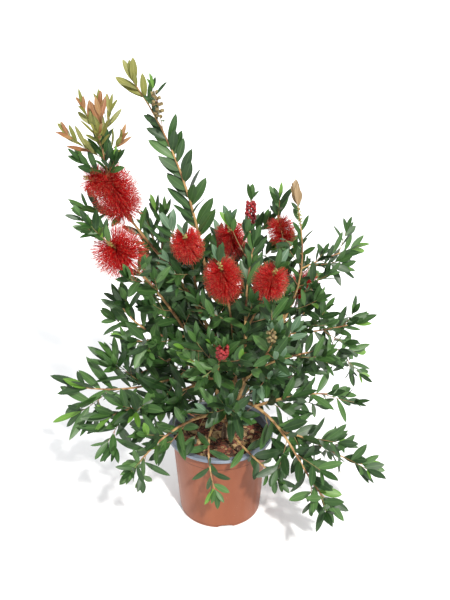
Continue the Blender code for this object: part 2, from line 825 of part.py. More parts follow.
def main():
    """Build the pot, the soil, the limbs and the masses of foliage."""
    remove_everything()
    parts = new_collection("potted_bottlebrush")
    cutters = new_collection("cutters")
    new_collection("sections")
    clearances = new_collection("clearances")
    plant = Plant()
    make_pot(parts, cutters)
    make_soil(parts)
    make_trunk(plant, parts, clearances)
    for limb in LIMBS:
        if limb.bough:
            make_bough(plant, limb, parts, clearances)
    leaf = leaf_shape()
    for limb in LIMBS:
        make_mass(plant, limb, parts, clearances, leaf)
    for helpers in ("clearances", "sections"):
        for obj in list(bpy.data.collections[helpers].objects):
            bpy.data.objects.remove(obj, do_unlink=True)
        bpy.data.collections.remove(bpy.data.collections[helpers])


main()
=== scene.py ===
# %% [markdown]
# # A bottlebrush shrub in its nursery pot
#
# The real thing is a young shrub about a metre tall. Its stems leave one short trunk,
# its leaves stand in spirals round them, and the red brushes of stamens sit near the ends.
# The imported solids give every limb, the pot and the soil their places. This lesson dresses
# them: first the light and the camera, then the pot and its bark mix, then wood, leaves and flowers.

# %% Load the frame
import json
import math
import random
from dataclasses import dataclass

import bmesh
import bpy
import numpy as np
from mathutils import Matrix, Vector

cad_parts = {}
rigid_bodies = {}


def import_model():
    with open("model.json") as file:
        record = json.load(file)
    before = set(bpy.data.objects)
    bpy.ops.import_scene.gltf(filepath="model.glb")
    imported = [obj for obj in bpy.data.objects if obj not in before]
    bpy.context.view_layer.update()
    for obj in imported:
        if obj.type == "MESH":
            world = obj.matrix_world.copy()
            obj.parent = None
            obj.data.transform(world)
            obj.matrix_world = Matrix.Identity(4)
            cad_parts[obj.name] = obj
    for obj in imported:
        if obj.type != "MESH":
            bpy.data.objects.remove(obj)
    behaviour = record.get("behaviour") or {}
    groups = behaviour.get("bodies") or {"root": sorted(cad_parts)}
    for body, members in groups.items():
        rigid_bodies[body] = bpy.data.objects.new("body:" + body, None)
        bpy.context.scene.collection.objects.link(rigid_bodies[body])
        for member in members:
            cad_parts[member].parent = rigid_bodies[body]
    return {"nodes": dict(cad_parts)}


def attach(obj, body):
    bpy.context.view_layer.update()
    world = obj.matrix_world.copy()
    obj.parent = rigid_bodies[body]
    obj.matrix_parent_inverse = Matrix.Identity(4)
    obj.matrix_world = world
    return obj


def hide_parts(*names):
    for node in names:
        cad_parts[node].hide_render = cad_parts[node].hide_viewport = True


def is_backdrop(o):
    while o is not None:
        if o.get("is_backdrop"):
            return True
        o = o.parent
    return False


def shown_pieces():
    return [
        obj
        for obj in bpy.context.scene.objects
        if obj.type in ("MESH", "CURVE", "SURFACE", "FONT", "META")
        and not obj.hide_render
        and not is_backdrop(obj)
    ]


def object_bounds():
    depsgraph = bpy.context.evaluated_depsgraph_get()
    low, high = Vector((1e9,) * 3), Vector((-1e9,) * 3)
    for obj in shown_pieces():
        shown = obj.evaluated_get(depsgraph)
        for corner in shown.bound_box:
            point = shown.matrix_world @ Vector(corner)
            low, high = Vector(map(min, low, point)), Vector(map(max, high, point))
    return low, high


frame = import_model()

FRAME_BOX = [list(corner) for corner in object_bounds()]
NODES = sorted(frame["nodes"])
MASS_NODES = [name for name in NODES if name.startswith("mass_")]
BOUGH_NODES = [name for name in NODES if name.startswith("bough_")]
scene = bpy.context.scene
print("solids:", len(NODES), "of which masses:", len(MASS_NODES), "and boughs:", len(BOUGH_NODES))

# %% [markdown]
# ## The camera
#
# The rim and the foot of the pot are circles, and in the picture they are ellipses of known
# sizes. Their flatness gives how far the camera looks down, and the rim's width gives how far
# away it stands. A long lens keeps the verticals of the pot almost parallel, as they are there.

# %% Set up the camera
PICTURE_HEIGHT = 600
FOCAL_PIXELS = 1200.0
SENSOR_MM = 36.0
CAMERA_PLACE = Vector((0.0106, -2.0870, 1.6759))
LOOKING_DOWN = math.radians(29.2)

camera_data = bpy.data.cameras.new("camera")
camera_data.lens = SENSOR_MM * FOCAL_PIXELS / PICTURE_HEIGHT
camera_data.sensor_width = SENSOR_MM
camera = bpy.data.objects.new("camera", camera_data)
camera.location = CAMERA_PLACE
camera.rotation_euler = (math.pi / 2 - LOOKING_DOWN, 0.0, 0.0)
scene.collection.objects.link(camera)
scene.camera = camera
print("lens:", round(camera_data.lens, 1), "mm")

# %% [markdown]
# ## Floor and light
#
# The plant was photographed in daylight that comes from the upper right, in front, so the leaves
# throw shadows down to the left on the pot. A sun lamp with a wide disc does that evenly over the
# whole floor, where a small lamp nearby would fade with distance. A white sky all round keeps the
# shaded leaves green instead of black, and the floor white up to the picture's edges.

# %% Lay the floor and set the light
FLOOR_SIZE = 40.0
FLOOR_COLOUR = (0.98, 0.98, 0.98)
SKY_COLOUR = (0.97, 0.985, 1.0)
SKY_STRENGTH = 1.04
SUN_POWER = 3.7
SUN_DISC = math.radians(3.5)
SUN_PLACE = Vector((0.75, -2.0, 2.15))

bpy.ops.mesh.primitive_plane_add(size=FLOOR_SIZE, location=(0.0, 0.0, -0.0004))
floor = bpy.context.active_object
floor.name = "floor"
floor_material = bpy.data.materials.new("pale_floor")
floor_material.use_nodes = True
floor_shader = floor_material.node_tree.nodes["Principled BSDF"]
floor_shader.inputs["Base Color"].default_value = (*FLOOR_COLOUR, 1.0)
floor_shader.inputs["Roughness"].default_value = 0.9
floor.data.materials.append(floor_material)
floor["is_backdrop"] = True

sun_data = bpy.data.lights.new("sun", "SUN")
sun_data.energy = SUN_POWER
sun_data.angle = SUN_DISC
sun_data.color = (1.0, 0.975, 0.94)
sun = bpy.data.objects.new("sun", sun_data)
sun.location = SUN_PLACE
sun.rotation_euler = SUN_PLACE.to_track_quat("Z", "Y").to_euler()
scene.collection.objects.link(sun)
world = bpy.data.worlds.new("pale_sky")
scene.world = world
world.use_nodes = True
world.node_tree.nodes["Background"].inputs["Color"].default_value = (*SKY_COLOUR, 1.0)
world.node_tree.nodes["Background"].inputs["Strength"].default_value = SKY_STRENGTH
scene.view_settings.view_transform = "Standard"
scene.view_settings.look = "None"
print("sun stands", round(math.degrees(math.asin(SUN_PLACE.normalized().z))), "degrees high")

# %% [markdown]
# ## Effects that several finishes share
#
# Bark, plastic, soil and leaves all vary a little from place to place. Such a change could be
# painted, but a noise on the object's own coordinates never repeats and needs no picture. Three
# node groups hold it: one deals two colours out in patches, one adds specks, one gives relief.

# %% Build the shared shader groups
COLOUR = "NodeSocketColor"
NUMBER = "NodeSocketFloat"
SPECK_EDGE = 14.0
FINE_SHARE = 0.35


def feed(tree, socket, value):
    """Link an input to a socket or set its value; a colour may come as three numbers."""
    if isinstance(value, bpy.types.NodeSocket):
        tree.links.new(value, socket)
    elif socket.type == "RGBA" and len(value) == 3:
        socket.default_value = (*value, 1.0)
    else:
        socket.default_value = value


def add_node(tree, kind, inputs, **settings):
    """A new node with its settings, and with its inputs by name or by number."""
    node = tree.nodes.new(kind)
    for name, value in settings.items():
        setattr(node, name, value)
    for key, value in inputs.items():
        feed(tree, node.inputs[key], value)
    return node


def maths(tree, operation, *values, clamp=False):
    """A Math node's result."""
    inputs = dict(enumerate(values))
    return add_node(tree, "ShaderNodeMath", inputs, operation=operation, use_clamp=clamp).outputs[0]


def mix_colours(tree, factor, first, second, blend="MIX"):
    """A colour between two, by a factor."""
    inputs = {0: factor, 6: first, 7: second}
    return add_node(tree, "ShaderNodeMix", inputs, data_type="RGBA", blend_type=blend).outputs[2]


def group_tree(name, kind, inputs, outputs):
    """A node group, with the sockets that its inner nodes read from and feed."""
    tree = bpy.data.node_groups.new(name, kind)
    for label, socket_kind, value in inputs:
        socket = tree.interface.new_socket(label, in_out="INPUT", socket_type=socket_kind)
        if value is not None:
            socket.default_value = value
    for label, socket_kind in outputs:
        tree.interface.new_socket(label, in_out="OUTPUT", socket_type=socket_kind)
    return tree, tree.nodes.new("NodeGroupInput").outputs, tree.nodes.new("NodeGroupOutput").inputs


def stretched_noise(tree, scale, stretch, detail):
    """Noise on object coordinates, drawn out along Z where the stretch is below 1."""
    place = tree.nodes.new("ShaderNodeTexCoord").outputs["Object"]
    squeeze = add_node(tree, "ShaderNodeCombineXYZ", {"X": 1.0, "Y": 1.0, "Z": stretch}).outputs[0]
    drawn = add_node(tree, "ShaderNodeMapping", {"Vector": place, "Scale": squeeze}).outputs[0]
    noise = add_node(tree, "ShaderNodeTexNoise", {"Vector": drawn, "Scale": scale, "Detail": detail})
    return noise.outputs["Fac"]


def build_patches():
    """Two colours in soft patches."""
    tree, given, out = group_tree(
        "patches",
        "ShaderNodeTree",
        [
            ("First", COLOUR, (0.5, 0.5, 0.5, 1.0)),
            ("Second", COLOUR, (0.3, 0.3, 0.3, 1.0)),
            ("Scale", NUMBER, 20.0),
            ("Stretch", NUMBER, 1.0),
            ("Contrast", NUMBER, 2.0),
        ],
        [("Colour", COLOUR), ("Mask", NUMBER)],
    )
    centred = maths(tree, "SUBTRACT", stretched_noise(tree, given["Scale"], given["Stretch"], 4.0), 0.5)
    mask = maths(tree, "MULTIPLY_ADD", centred, given["Contrast"], 0.5, clamp=True)
    feed(tree, out["Colour"], mix_colours(tree, mask, given["First"], given["Second"]))
    feed(tree, out["Mask"], mask)
    return tree


def build_specks():
    """Small specks of another colour over a colour."""
    tree, given, out = group_tree(
        "specks",
        "ShaderNodeTree",
        [
            ("Colour", COLOUR, (0.5, 0.5, 0.5, 1.0)),
            ("Speck", COLOUR, (0.8, 0.8, 0.8, 1.0)),
            ("Scale", NUMBER, 400.0),
            ("Rarity", NUMBER, 0.66),
        ],
        [("Colour", COLOUR)],
    )
    above = maths(tree, "SUBTRACT", stretched_noise(tree, given["Scale"], 1.0, 2.0), given["Rarity"])
    mask = maths(tree, "MULTIPLY", above, SPECK_EDGE, clamp=True)
    feed(tree, out["Colour"], mix_colours(tree, mask, given["Colour"], given["Speck"]))
    return tree


def build_relief():
    """A height made of coarse and fine noise, for a Bump node."""
    tree, given, out = group_tree(
        "relief",
        "ShaderNodeTree",
        [("Scale", NUMBER, 200.0), ("Stretch", NUMBER, 1.0), ("Fine Scale", NUMBER, 900.0)],
        [("Height", NUMBER)],
    )
    coarse = stretched_noise(tree, given["Scale"], given["Stretch"], 5.0)
    fine = stretched_noise(tree, given["Fine Scale"], given["Stretch"], 2.0)
    feed(tree, out["Height"], maths(tree, "MULTIPLY_ADD", fine, FINE_SHARE, coarse))
    return tree


PATCHES = build_patches()
SPECKS = build_specks()
RELIEF = build_relief()
print("shared effects:", [tree.name for tree in (PATCHES, SPECKS, RELIEF)])

# %% [markdown]
# ## A finish from the shared effects
#
# Most finishes here are alike in build: two tones in patches, specks or none, a relief and a
# gloss. One function wires that up, and each finish then differs only in its own values.

# %% Write the finish function


def use_group(tree, group, **inputs):
    """The outputs of a node group placed in a material."""
    named = {name.replace("_", " "): value for name, value in inputs.items()}
    return add_node(tree, "ShaderNodeGroup", named, node_tree=group).outputs


def new_material(name, specular):
    """A material, its node tree and its shader's inputs."""
    material = bpy.data.materials.new(name)
    material.use_nodes = True
    shader = material.node_tree.nodes["Principled BSDF"].inputs
    shader["Specular IOR Level"].default_value = specular
    return material, material.node_tree, shader


def add_surface(tree, shader, mask, rough, height, strength, depth):
    """A gloss that follows a mask, and a relief."""
    gloss = add_node(tree, "ShaderNodeMapRange", {"Value": mask, "To Min": rough[0], "To Max": rough[1]})
    bump = add_node(tree, "ShaderNodeBump", {"Strength": strength, "Distance": depth, "Height": height})
    feed(tree, shader["Roughness"], gloss.outputs["Result"])
    feed(tree, shader["Normal"], bump.outputs["Normal"])


def make_finish(
    name, first, second, patch=30.0, stretch=1.0, contrast=2.5, speck=None, rarity=0.66, speck_scale=500.0,
    rough=(0.5, 0.7), relief=250.0, fine=900.0, depth=0.0004, strength=0.4, specular=0.5,
):
    """A material of two tones in patches, with optional specks, varied gloss and relief."""
    material, tree, shader = new_material(name, specular)
    patches = use_group(
        tree, PATCHES, First=first, Second=second, Scale=patch, Stretch=stretch, Contrast=contrast
    )
    colour = patches["Colour"]
    if speck:
        specks = use_group(tree, SPECKS, Colour=colour, Speck=speck, Scale=speck_scale, Rarity=rarity)
        colour = specks["Colour"]
    feed(tree, shader["Base Color"], colour)
    height = use_group(tree, RELIEF, Scale=relief, Stretch=stretch, Fine_Scale=fine)["Height"]
    add_surface(tree, shader, patches["Mask"], rough, height, strength, depth)
    return material


print("a finish has", len(make_finish.__defaults__), "values that may differ")

# %% [markdown]
# ## Geometry Nodes helpers
#
# Leaves, twigs, stamens, buds and chips all repeat, so node trees place them. Each tree is built
# here, gets its inputs by the sockets' identifiers, is evaluated once and turned into a plain mesh.
# The export drops instances, so every tree ends by realizing them and setting the material.

# %% Write the Geometry Nodes helpers
WHOLE = "NodeSocketInt"
SHAPE = "NodeSocketGeometry"
MATERIAL_INPUT = ("Material", "NodeSocketMaterial", None)
SHAPES_INPUTS = [("Shapes", "NodeSocketCollection", None), ("Seed", WHOLE, 1), MATERIAL_INPUT]


def geometry_tree(name, inputs):
    """A Geometry Nodes tree with named inputs after its geometry."""
    return group_tree(name, "GeometryNodeTree", [("Geometry", SHAPE, None), *inputs], [("Geometry", SHAPE)])


def named_attribute(tree, name, kind):
    """The socket of an attribute that the points carry."""
    node = add_node(tree, "GeometryNodeInputNamedAttribute", {"Name": name}, data_type=kind)
    return node.outputs["Attribute"]


def vector(tree, x=0.0, y=0.0, z=0.0):
    """Three numbers or sockets as one vector."""
    return add_node(tree, "ShaderNodeCombineXYZ", {"X": x, "Y": y, "Z": z}).outputs[0]


def random_value(tree, low, high, seed, kind="FLOAT"):
    """A random number or vector for each point, between two."""
    first = 0 if kind == "FLOAT_VECTOR" else 2
    inputs = {first: low, first + 1: high, "Seed": seed}
    return add_node(tree, "FunctionNodeRandomValue", inputs, data_type=kind).outputs[first // 2]


def turn_further(tree, rotation, angles):
    """A rotation turned further about its own axes."""
    inputs = {0: rotation, 1: angles}
    return add_node(tree, "FunctionNodeRotateRotation", inputs, rotation_space="LOCAL").outputs[0]


def finish_tree(tree, geometry, given, out):
    """Realize the instances, shade smooth and set the material."""
    for kind, inputs in (
        ("GeometryNodeRealizeInstances", {}),
        ("GeometryNodeSetShadeSmooth", {}),
        ("GeometryNodeSetMaterial", {"Material": given["Material"]}),
    ):
        geometry = add_node(tree, kind, {"Geometry": geometry, **inputs}).outputs[0]
    feed(tree, out["Geometry"], geometry)


def put_shapes(tree, given, out, points, rotation, scale, **index):
    """One shape of the collection on every point, realized and painted."""
    shapes = add_node(
        tree, "GeometryNodeCollectionInfo",
        {"Collection": given["Shapes"], "Separate Children": True, "Reset Children": True},
    )
    inputs = {"Points": points, "Instance": shapes.outputs[0], "Pick Instance": True}
    for name, socket in index.items():
        inputs[name.replace("_", " ")] = socket
    place = add_node(tree, "GeometryNodeInstanceOnPoints", {**inputs, "Rotation": rotation, "Scale": scale})
    finish_tree(tree, place.outputs[0], given, out)


def mesh_of(bm, name):
    """A finished bmesh as a plain mesh."""
    mesh = bpy.data.meshes.new(name)
    bm.to_mesh(mesh)
    bm.free()
    return mesh


def show(name, mesh):
    """A mesh as a new object in the scene."""
    obj = bpy.data.objects.new(name, mesh)
    scene.collection.objects.link(obj)
    return obj


def evaluated_mesh(obj):
    """A new mesh of an object as its modifiers leave it."""
    bpy.context.view_layer.update()
    graph = bpy.context.evaluated_depsgraph_get()
    return bpy.data.meshes.new_from_object(obj.evaluated_get(graph), depsgraph=graph)


def grow(name, mesh, tree, **values):
    """Run a tree on a mesh and keep the result as a plain object."""
    carrier = show(name, mesh)
    modifier = carrier.modifiers.new("grown", "NODES")
    modifier.node_group = tree
    for item in tree.interface.items_tree:
        key = item.name.replace(" ", "_")
        if item.in_out == "INPUT" and key in values:
            modifier[item.identifier] = values[key]
    grown = evaluated_mesh(carrier)
    carrier.modifiers.clear()
    carrier.data = grown
    grown.name = name
    grown.materials.clear()
    grown.materials.append(values["Material"])
    grown.polygons.foreach_set("material_index", [0] * len(grown.polygons))
    bpy.data.meshes.remove(mesh)
    return carrier


def triangles(obj):
    """How many triangles a mesh object has."""
    return sum(len(polygon.vertices) - 2 for polygon in obj.data.polygons)


def settle(obj, slot, *nodes):
    """A finished piece rides on the plant's one body and stands for its solids."""
    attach(obj, "root")
    if nodes:
        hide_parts(*nodes)
    print(obj.name, "has", triangles(obj), "triangles")
    return obj


print("helpers ready")

# %% [markdown]
# ## The pot
#
# It is a moulded nursery pot of two layers: terracotta outside, black inside, and the black one
# shows on the rolled rim. A section turned round the axis gives its body, its collar and its rim.
# The terracotta body and the dark rim and lining are two turned pieces, so each has one plain finish.

# %% Set the pot's sizes
POT_HEIGHT = 0.196
RIM_RADIUS = 0.1125
RIM_FLANGE = 0.009
SKIRT_DEPTH = 0.007
SKIRT_WALL = 0.0016
BODY_TOP_RADIUS = 0.1022
BODY_BASE_RADIUS = 0.0868
POT_WALL = 0.0020
FLOOR_THICK = 0.009
COLLAR_DROP = 0.025
COLLAR_PROUD = 0.0007
STEP = 0.0008
FOOT_HEIGHT = 0.006
SOIL_TOP = 0.175
TURN_STEPS = 144


def body_radius(z):
    """The pot's plain outer wall at a height."""
    return BODY_BASE_RADIUS + (BODY_TOP_RADIUS - BODY_BASE_RADIUS) * z / (POT_HEIGHT - 0.002)


def arc(centre, radius, first, last, steps):
    """Points on an arc of a section, angles in degrees."""
    angles = [math.radians(first + (last - first) * i / steps) for i in range(steps + 1)]
    return [(centre[0] + radius * math.cos(a), centre[1] + radius * math.sin(a)) for a in angles]


def spun(name, section, steps, closed=True):
    """A section turned all round the Z axis, as a mesh."""
    bm = bmesh.new()
    verts = [bm.verts.new((radius, 0.0, z)) for radius, z in section]
    nexts = verts[1:] + verts[:1] if closed else verts[1:]
    edges = [bm.edges.new(pair) for pair in zip(verts, nexts)]
    bmesh.ops.spin(
        bm, geom=verts + edges, cent=(0, 0, 0), axis=(0, 0, 1), angle=math.tau, steps=steps,
        use_merge=True, use_duplicate=False,
    )
    bmesh.ops.remove_doubles(bm, verts=bm.verts, dist=1e-6)
    bmesh.ops.recalc_face_normals(bm, faces=bm.faces)
    return mesh_of(bm, name)


print("pot wall slopes", round((BODY_TOP_RADIUS - BODY_BASE_RADIUS) * 1000, 1), "mm")

# %% [markdown]
# The body's section runs up the outside, over the foot's small step and the collar, and back
# down just inside. The wall is so thin that it has dents, which run upright. Four arched notches
# at the foot let water out, and they are real cuts.

# %% Turn the pot's body
NOTCHES = 4
NOTCH_TURN = math.radians(-82)
NOTCH_WIDTH = 0.034
NOTCH_HEIGHT = 0.006
NOTCH_INNER = 0.055
LINING = 0.0006
WALL_STEPS = 10
GROOVE = 0.0005
DENT = 0.0009
CREASES = ((-62, 4), (-84, 5), (-118, 5), (-38, 4), (15, 5), (70, 4), (128, 5), (196, 4))
COLLAR = POT_HEIGHT - SKIRT_DEPTH - COLLAR_DROP


def wall(inset, first, last):
    """Points down or up the wall, at an inset from its outer face."""
    return [(body_radius(z) - inset, z) for z in np.linspace(first, last, WALL_STEPS)]


def body_section():
    """Outside up, inside down, with a floor."""
    top = POT_HEIGHT - 0.0022
    return [
        (0.0, 0.0),
        (BODY_BASE_RADIUS - 2 * STEP - 0.0014, 0.0),
        *arc((BODY_BASE_RADIUS - 2 * STEP - 0.0014, 0.0014), 0.0014, -70, 0, 3),
        (body_radius(FOOT_HEIGHT) - 2 * STEP, FOOT_HEIGHT - STEP),
        (body_radius(FOOT_HEIGHT) - 2 * STEP - GROOVE, FOOT_HEIGHT - STEP * 0.2),
        (body_radius(FOOT_HEIGHT) - STEP, FOOT_HEIGHT + STEP * 0.4),
        (body_radius(FOOT_HEIGHT + 0.002) - STEP, FOOT_HEIGHT + 0.0022),
        *wall(STEP, 0.02, COLLAR - 0.004),
        (body_radius(COLLAR) - STEP, COLLAR - 2 * STEP),
        (body_radius(COLLAR) - STEP - GROOVE, COLLAR - 1.5 * STEP),
        (body_radius(COLLAR) - STEP - GROOVE, COLLAR),
        (body_radius(COLLAR) + COLLAR_PROUD, COLLAR + STEP * 0.2),
        *wall(-COLLAR_PROUD, COLLAR + 0.003, top),
        *wall(POT_WALL - LINING, top, FLOOR_THICK - LINING),
        (0.0, FLOOR_THICK - LINING),
    ]


def dent(obj):
    """Thin plastic gives way: shallow upright creases, strongest halfway up."""
    for vert in obj.data.vertices:
        radius = math.hypot(vert.co.x, vert.co.y)
        if radius < body_radius(vert.co.z) - 3 * STEP:
            continue
        angle = math.degrees(math.atan2(vert.co.y, vert.co.x))
        strength = math.sin(math.pi * min(1.0, vert.co.z / (POT_HEIGHT - SKIRT_DEPTH))) ** 0.7
        depth = 0.0
        for place, width in CREASES:
            off = (angle - place + 180) % 360 - 180
            depth += math.exp(-((off / width) ** 2)) - 0.5 * math.exp(-(((off - 2 * width) / width) ** 2))
        share = 1 - DENT * strength * depth / radius
        vert.co.x *= share
        vert.co.y *= share


def cut_notches(obj):
    """Cut the drainage notches out of the foot."""
    bm = bmesh.new()
    reach = BODY_BASE_RADIUS + 0.01 - NOTCH_INNER
    for i in range(NOTCHES):
        turn = Matrix.Rotation(NOTCH_TURN + i * math.tau / NOTCHES, 4, "Z")
        lie = Matrix.Rotation(math.pi / 2, 4, "Y")
        place = Matrix.Translation((NOTCH_INNER + reach / 2, 0.0, 0.0))
        shape = Matrix.Diagonal((1.0, NOTCH_WIDTH / 2, NOTCH_HEIGHT, 1.0))
        bmesh.ops.create_cone(
            bm, cap_ends=True, segments=40, radius1=1.0, radius2=1.0, depth=reach,
            matrix=turn @ place @ shape @ lie,
        )
    cutter = show("notches", mesh_of(bm, "notches"))
    cut = obj.modifiers.new("notches", "BOOLEAN")
    cut.operation = "DIFFERENCE"
    cut.object = cutter
    obj.data = evaluated_mesh(obj)
    obj.modifiers.clear()
    bpy.data.objects.remove(cutter, do_unlink=True)


def smooth_by_angle(obj, degrees=35):
    """Smooth faces with sharp edges where they meet at more than an angle."""
    obj.data.shade_smooth()
    obj.data.set_sharp_from_angle(angle=math.radians(degrees))


terracotta = make_finish(
    "terracotta_plastic", (0.243, 0.067, 0.0215), (0.190, 0.049, 0.017), patch=14.0, stretch=0.4,
    contrast=2.4, speck=(0.36, 0.16, 0.09), rarity=0.70, speck_scale=380.0, rough=(0.46, 0.62),
    relief=90.0, fine=700.0, depth=0.0003, strength=0.25, specular=0.4,
)


def add_painted_groove_shade(material, height, width, colour):
    """A thin dark line all round at a height: painted shade in the groove."""
    tree = material.node_tree
    base = tree.nodes["Principled BSDF"].inputs["Base Color"]
    place = tree.nodes.new("ShaderNodeTexCoord").outputs["Object"]
    level = add_node(tree, "ShaderNodeSeparateXYZ", {"Vector": place}).outputs["Z"]
    off = maths(tree, "ABSOLUTE", maths(tree, "SUBTRACT", level, height))
    line = maths(tree, "SUBTRACT", 1.0, maths(tree, "DIVIDE", off, width), clamp=True)
    feed(tree, base, mix_colours(tree, line, base.links[0].from_socket, colour))


# Painted shade: dark lines in the collar's groove and at the foot's step stand for the shadow there.
add_painted_groove_shade(terracotta, COLLAR - STEP * 0.7, 0.0018, (0.030, 0.012, 0.008))
add_painted_groove_shade(terracotta, FOOT_HEIGHT, 0.0012, (0.060, 0.022, 0.012))
terracotta.node_tree.nodes["Principled BSDF"].inputs["Sheen Weight"].default_value = 0.10
pot_body = show("pot_body", spun("pot_body", body_section(), TURN_STEPS))
dent(pot_body)
cut_notches(pot_body)
smooth_by_angle(pot_body)
pot_body.data.materials.clear()
pot_body.data.materials.append(terracotta)
settle(pot_body, "pot_plastic", "pot")

# %% [markdown]
# The dark layer lines the inside and rolls over the top: a flange, a skirt that hangs from it
# and a small bead at its edge. It is black plastic, but it mirrors the sky, so its colour is a
# painted reflection: blue grey.

# %% Turn the rim and the lining


def rim_section():
    """Inside up, over the rolled rim, down the skirt and back under it."""
    top = POT_HEIGHT
    inner = body_radius(top - 0.004) - POT_WALL
    roll = 0.0016
    return [
        (0.0, FLOOR_THICK - LINING + 0.00005),
        *wall(POT_WALL - LINING + 0.00005, FLOOR_THICK - LINING + 0.00005, top - 0.0030),
        (body_radius(top - 0.003) + 0.0002, top - 0.0019),
        (RIM_RADIUS - SKIRT_WALL, top - 0.0019),
        (RIM_RADIUS - SKIRT_WALL, top - SKIRT_DEPTH + 0.0006),
        *arc((RIM_RADIUS - 0.0008, top - SKIRT_DEPTH + 0.0008), 0.0008, 225, 360, 4),
        (RIM_RADIUS - 0.0002, top - SKIRT_DEPTH * 0.62),
        (RIM_RADIUS - 0.0006, top - SKIRT_DEPTH * 0.55),
        (RIM_RADIUS - 0.0002, top - SKIRT_DEPTH * 0.48),
        *arc((RIM_RADIUS - roll, top - roll), roll, 0, 90, 6),
        (RIM_RADIUS - RIM_FLANGE * 0.45, top - 0.0004),
        *arc((inner + 0.0022, top - 0.0022), 0.0022, 90, 180, 5),
        *wall(POT_WALL, top - 0.008, FLOOR_THICK + 0.0004),
        (0.0, FLOOR_THICK + 0.0004),
    ]


# Painted reflection: the black plastic's colour is set blue grey for the sky it mirrors.
dark_plastic = make_finish(
    "dark_rim_plastic", (0.11, 0.135, 0.18), (0.18, 0.215, 0.27), patch=22.0, contrast=3.0,
    speck=(0.20, 0.21, 0.22), rarity=0.69, speck_scale=300.0, rough=(0.28, 0.45), relief=120.0,
    depth=0.0003, strength=0.3, specular=0.8,
)
pot_rim = show("pot_rim_and_lining", spun("pot_rim_and_lining", rim_section(), TURN_STEPS))
dent(pot_rim)
smooth_by_angle(pot_rim)
pot_rim.data.materials.append(dark_plastic)
settle(pot_rim, "pot_plastic", "pot")

# %% [markdown]
# ## The potting mix
#
# Composted bark fills the pot to two fingers below the rim. Its top is a turned disc pushed up
# and down by waves and by chance, and about fifteen hundred chips lie on it: dark ones, red-brown
# ones, tan ones and a little straw.

# %% Heap the soil
SOIL_CLEARANCE = 0.0005
SOIL_RINGS = 26
SOIL_STEPS = 120
SOIL_REACH = 0.1
SOIL_LUMP = 0.001225
SOIL_CRUMB = 0.0012
CROWN_OF_SOIL = 0.002


def soil_height(x, y):
    """The top of the mix: coarse lumps, highest by the trunk, level at the wall."""
    from_axis = math.hypot(x, y) / SOIL_REACH
    lump = math.sin(61 * x + 1.3) * math.sin(53 * y + 0.4) + 0.6 * math.sin(140 * x + 95 * y)
    return SOIL_TOP + CROWN_OF_SOIL * (1 - from_axis) + SOIL_LUMP * lump


def make_soil():
    """A closed solid with a lumpy top."""
    top_radius = body_radius(SOIL_TOP) - POT_WALL - SOIL_CLEARANCE
    low_radius = body_radius(FLOOR_THICK + 0.002) - POT_WALL - SOIL_CLEARANCE
    low = FLOOR_THICK + 0.0012
    top = [(top_radius * i / SOIL_RINGS, SOIL_TOP) for i in range(SOIL_RINGS + 1)]
    obj = show("potting_mix", spun("potting_mix", top + [(low_radius, low), (0.0, low)], SOIL_STEPS))
    draw = random.Random(5)
    for vert in obj.data.vertices:
        if vert.co.z > SOIL_TOP - 0.001:
            vert.co.z = soil_height(vert.co.x, vert.co.y) + draw.uniform(-SOIL_CRUMB, SOIL_CRUMB)
    obj.data.shade_smooth()
    return obj


soil_finish = make_finish(
    "bark_mix", (0.066, 0.037, 0.024), (0.17, 0.092, 0.054), patch=160.0, contrast=5.0,
    speck=(0.30, 0.20, 0.11), rarity=0.64, speck_scale=260.0, rough=(0.85, 0.98), relief=420.0,
    depth=0.002, strength=0.9, specular=0.25,
)
potting_mix = make_soil()
potting_mix.data.materials.append(soil_finish)
settle(potting_mix, "potting_mix", "potting_soil")

# %% [markdown]
# Each chip is a flake with chipped corners. A tree spreads points over the soil's top with a
# fixed seed and puts a turned and scaled flake on each. Several kinds could share one cloud of
# points, but then they would share one finish, so each kind has its own run of the same tree.

# %% Scatter the bark chips
FLAKES = 5
FLAKE_ROUGH = (0.72, 1.18)
CHIP_TILT = 0.42
SMALLEST_CHIP = 0.45


def flake(name, length, width, thick, seed):
    """A rough flake: a squashed ball with jagged corners."""
    draw = random.Random(seed)
    bm = bmesh.new()
    bmesh.ops.create_icosphere(bm, subdivisions=1, radius=0.5)
    for vert in bm.verts:
        rough = draw.uniform(*FLAKE_ROUGH)
        vert.co = Vector((vert.co.x * length * rough, vert.co.y * width * rough, vert.co.z * thick))
    return mesh_of(bm, name)


def shape_collection(name, meshes):
    """A collection of shapes to pick from, kept out of the scene."""
    collection = bpy.data.collections.new(name)
    for mesh in meshes:
        collection.objects.link(bpy.data.objects.new(mesh.name, mesh))
    return collection


def build_scatter():
    """Points over a surface, each with one shape of a collection, turned at random."""
    inputs = [*SHAPES_INPUTS, ("Density", NUMBER, 10000.0), ("Tilt", NUMBER, 0.5), ("Smallest", NUMBER, 0.6)]
    tree, given, out = geometry_tree("scatter", inputs)
    seed, tilt = given["Seed"], given["Tilt"]
    spread = add_node(
        tree, "GeometryNodeDistributePointsOnFaces",
        {"Mesh": given["Geometry"], "Density": given["Density"], "Seed": seed},
    )
    back = maths(tree, "MULTIPLY", tilt, -1.0)
    low, high = vector(tree, back, back), vector(tree, tilt, tilt, math.tau)
    turn = random_value(tree, low, high, seed, "FLOAT_VECTOR")
    size = random_value(tree, given["Smallest"], 1.0, seed)
    put_shapes(tree, given, out, spread.outputs["Points"], turn, size)
    return tree


def soil_surface():
    """The part of the soil's top that chips lie on, as a mesh of its own."""
    bm = bmesh.new()
    bm.from_mesh(potting_mix.data)
    reach = body_radius(SOIL_TOP) - POT_WALL - 0.007
    buried = [
        face for face in bm.faces
        if face.normal.z < 0.4 or math.hypot(*face.calc_center_median().xy) > reach
        or face.calc_center_median().z < SOIL_TOP - 0.01
    ]
    bmesh.ops.delete(bm, geom=buried, context="FACES")
    return mesh_of(bm, "chip_bed")


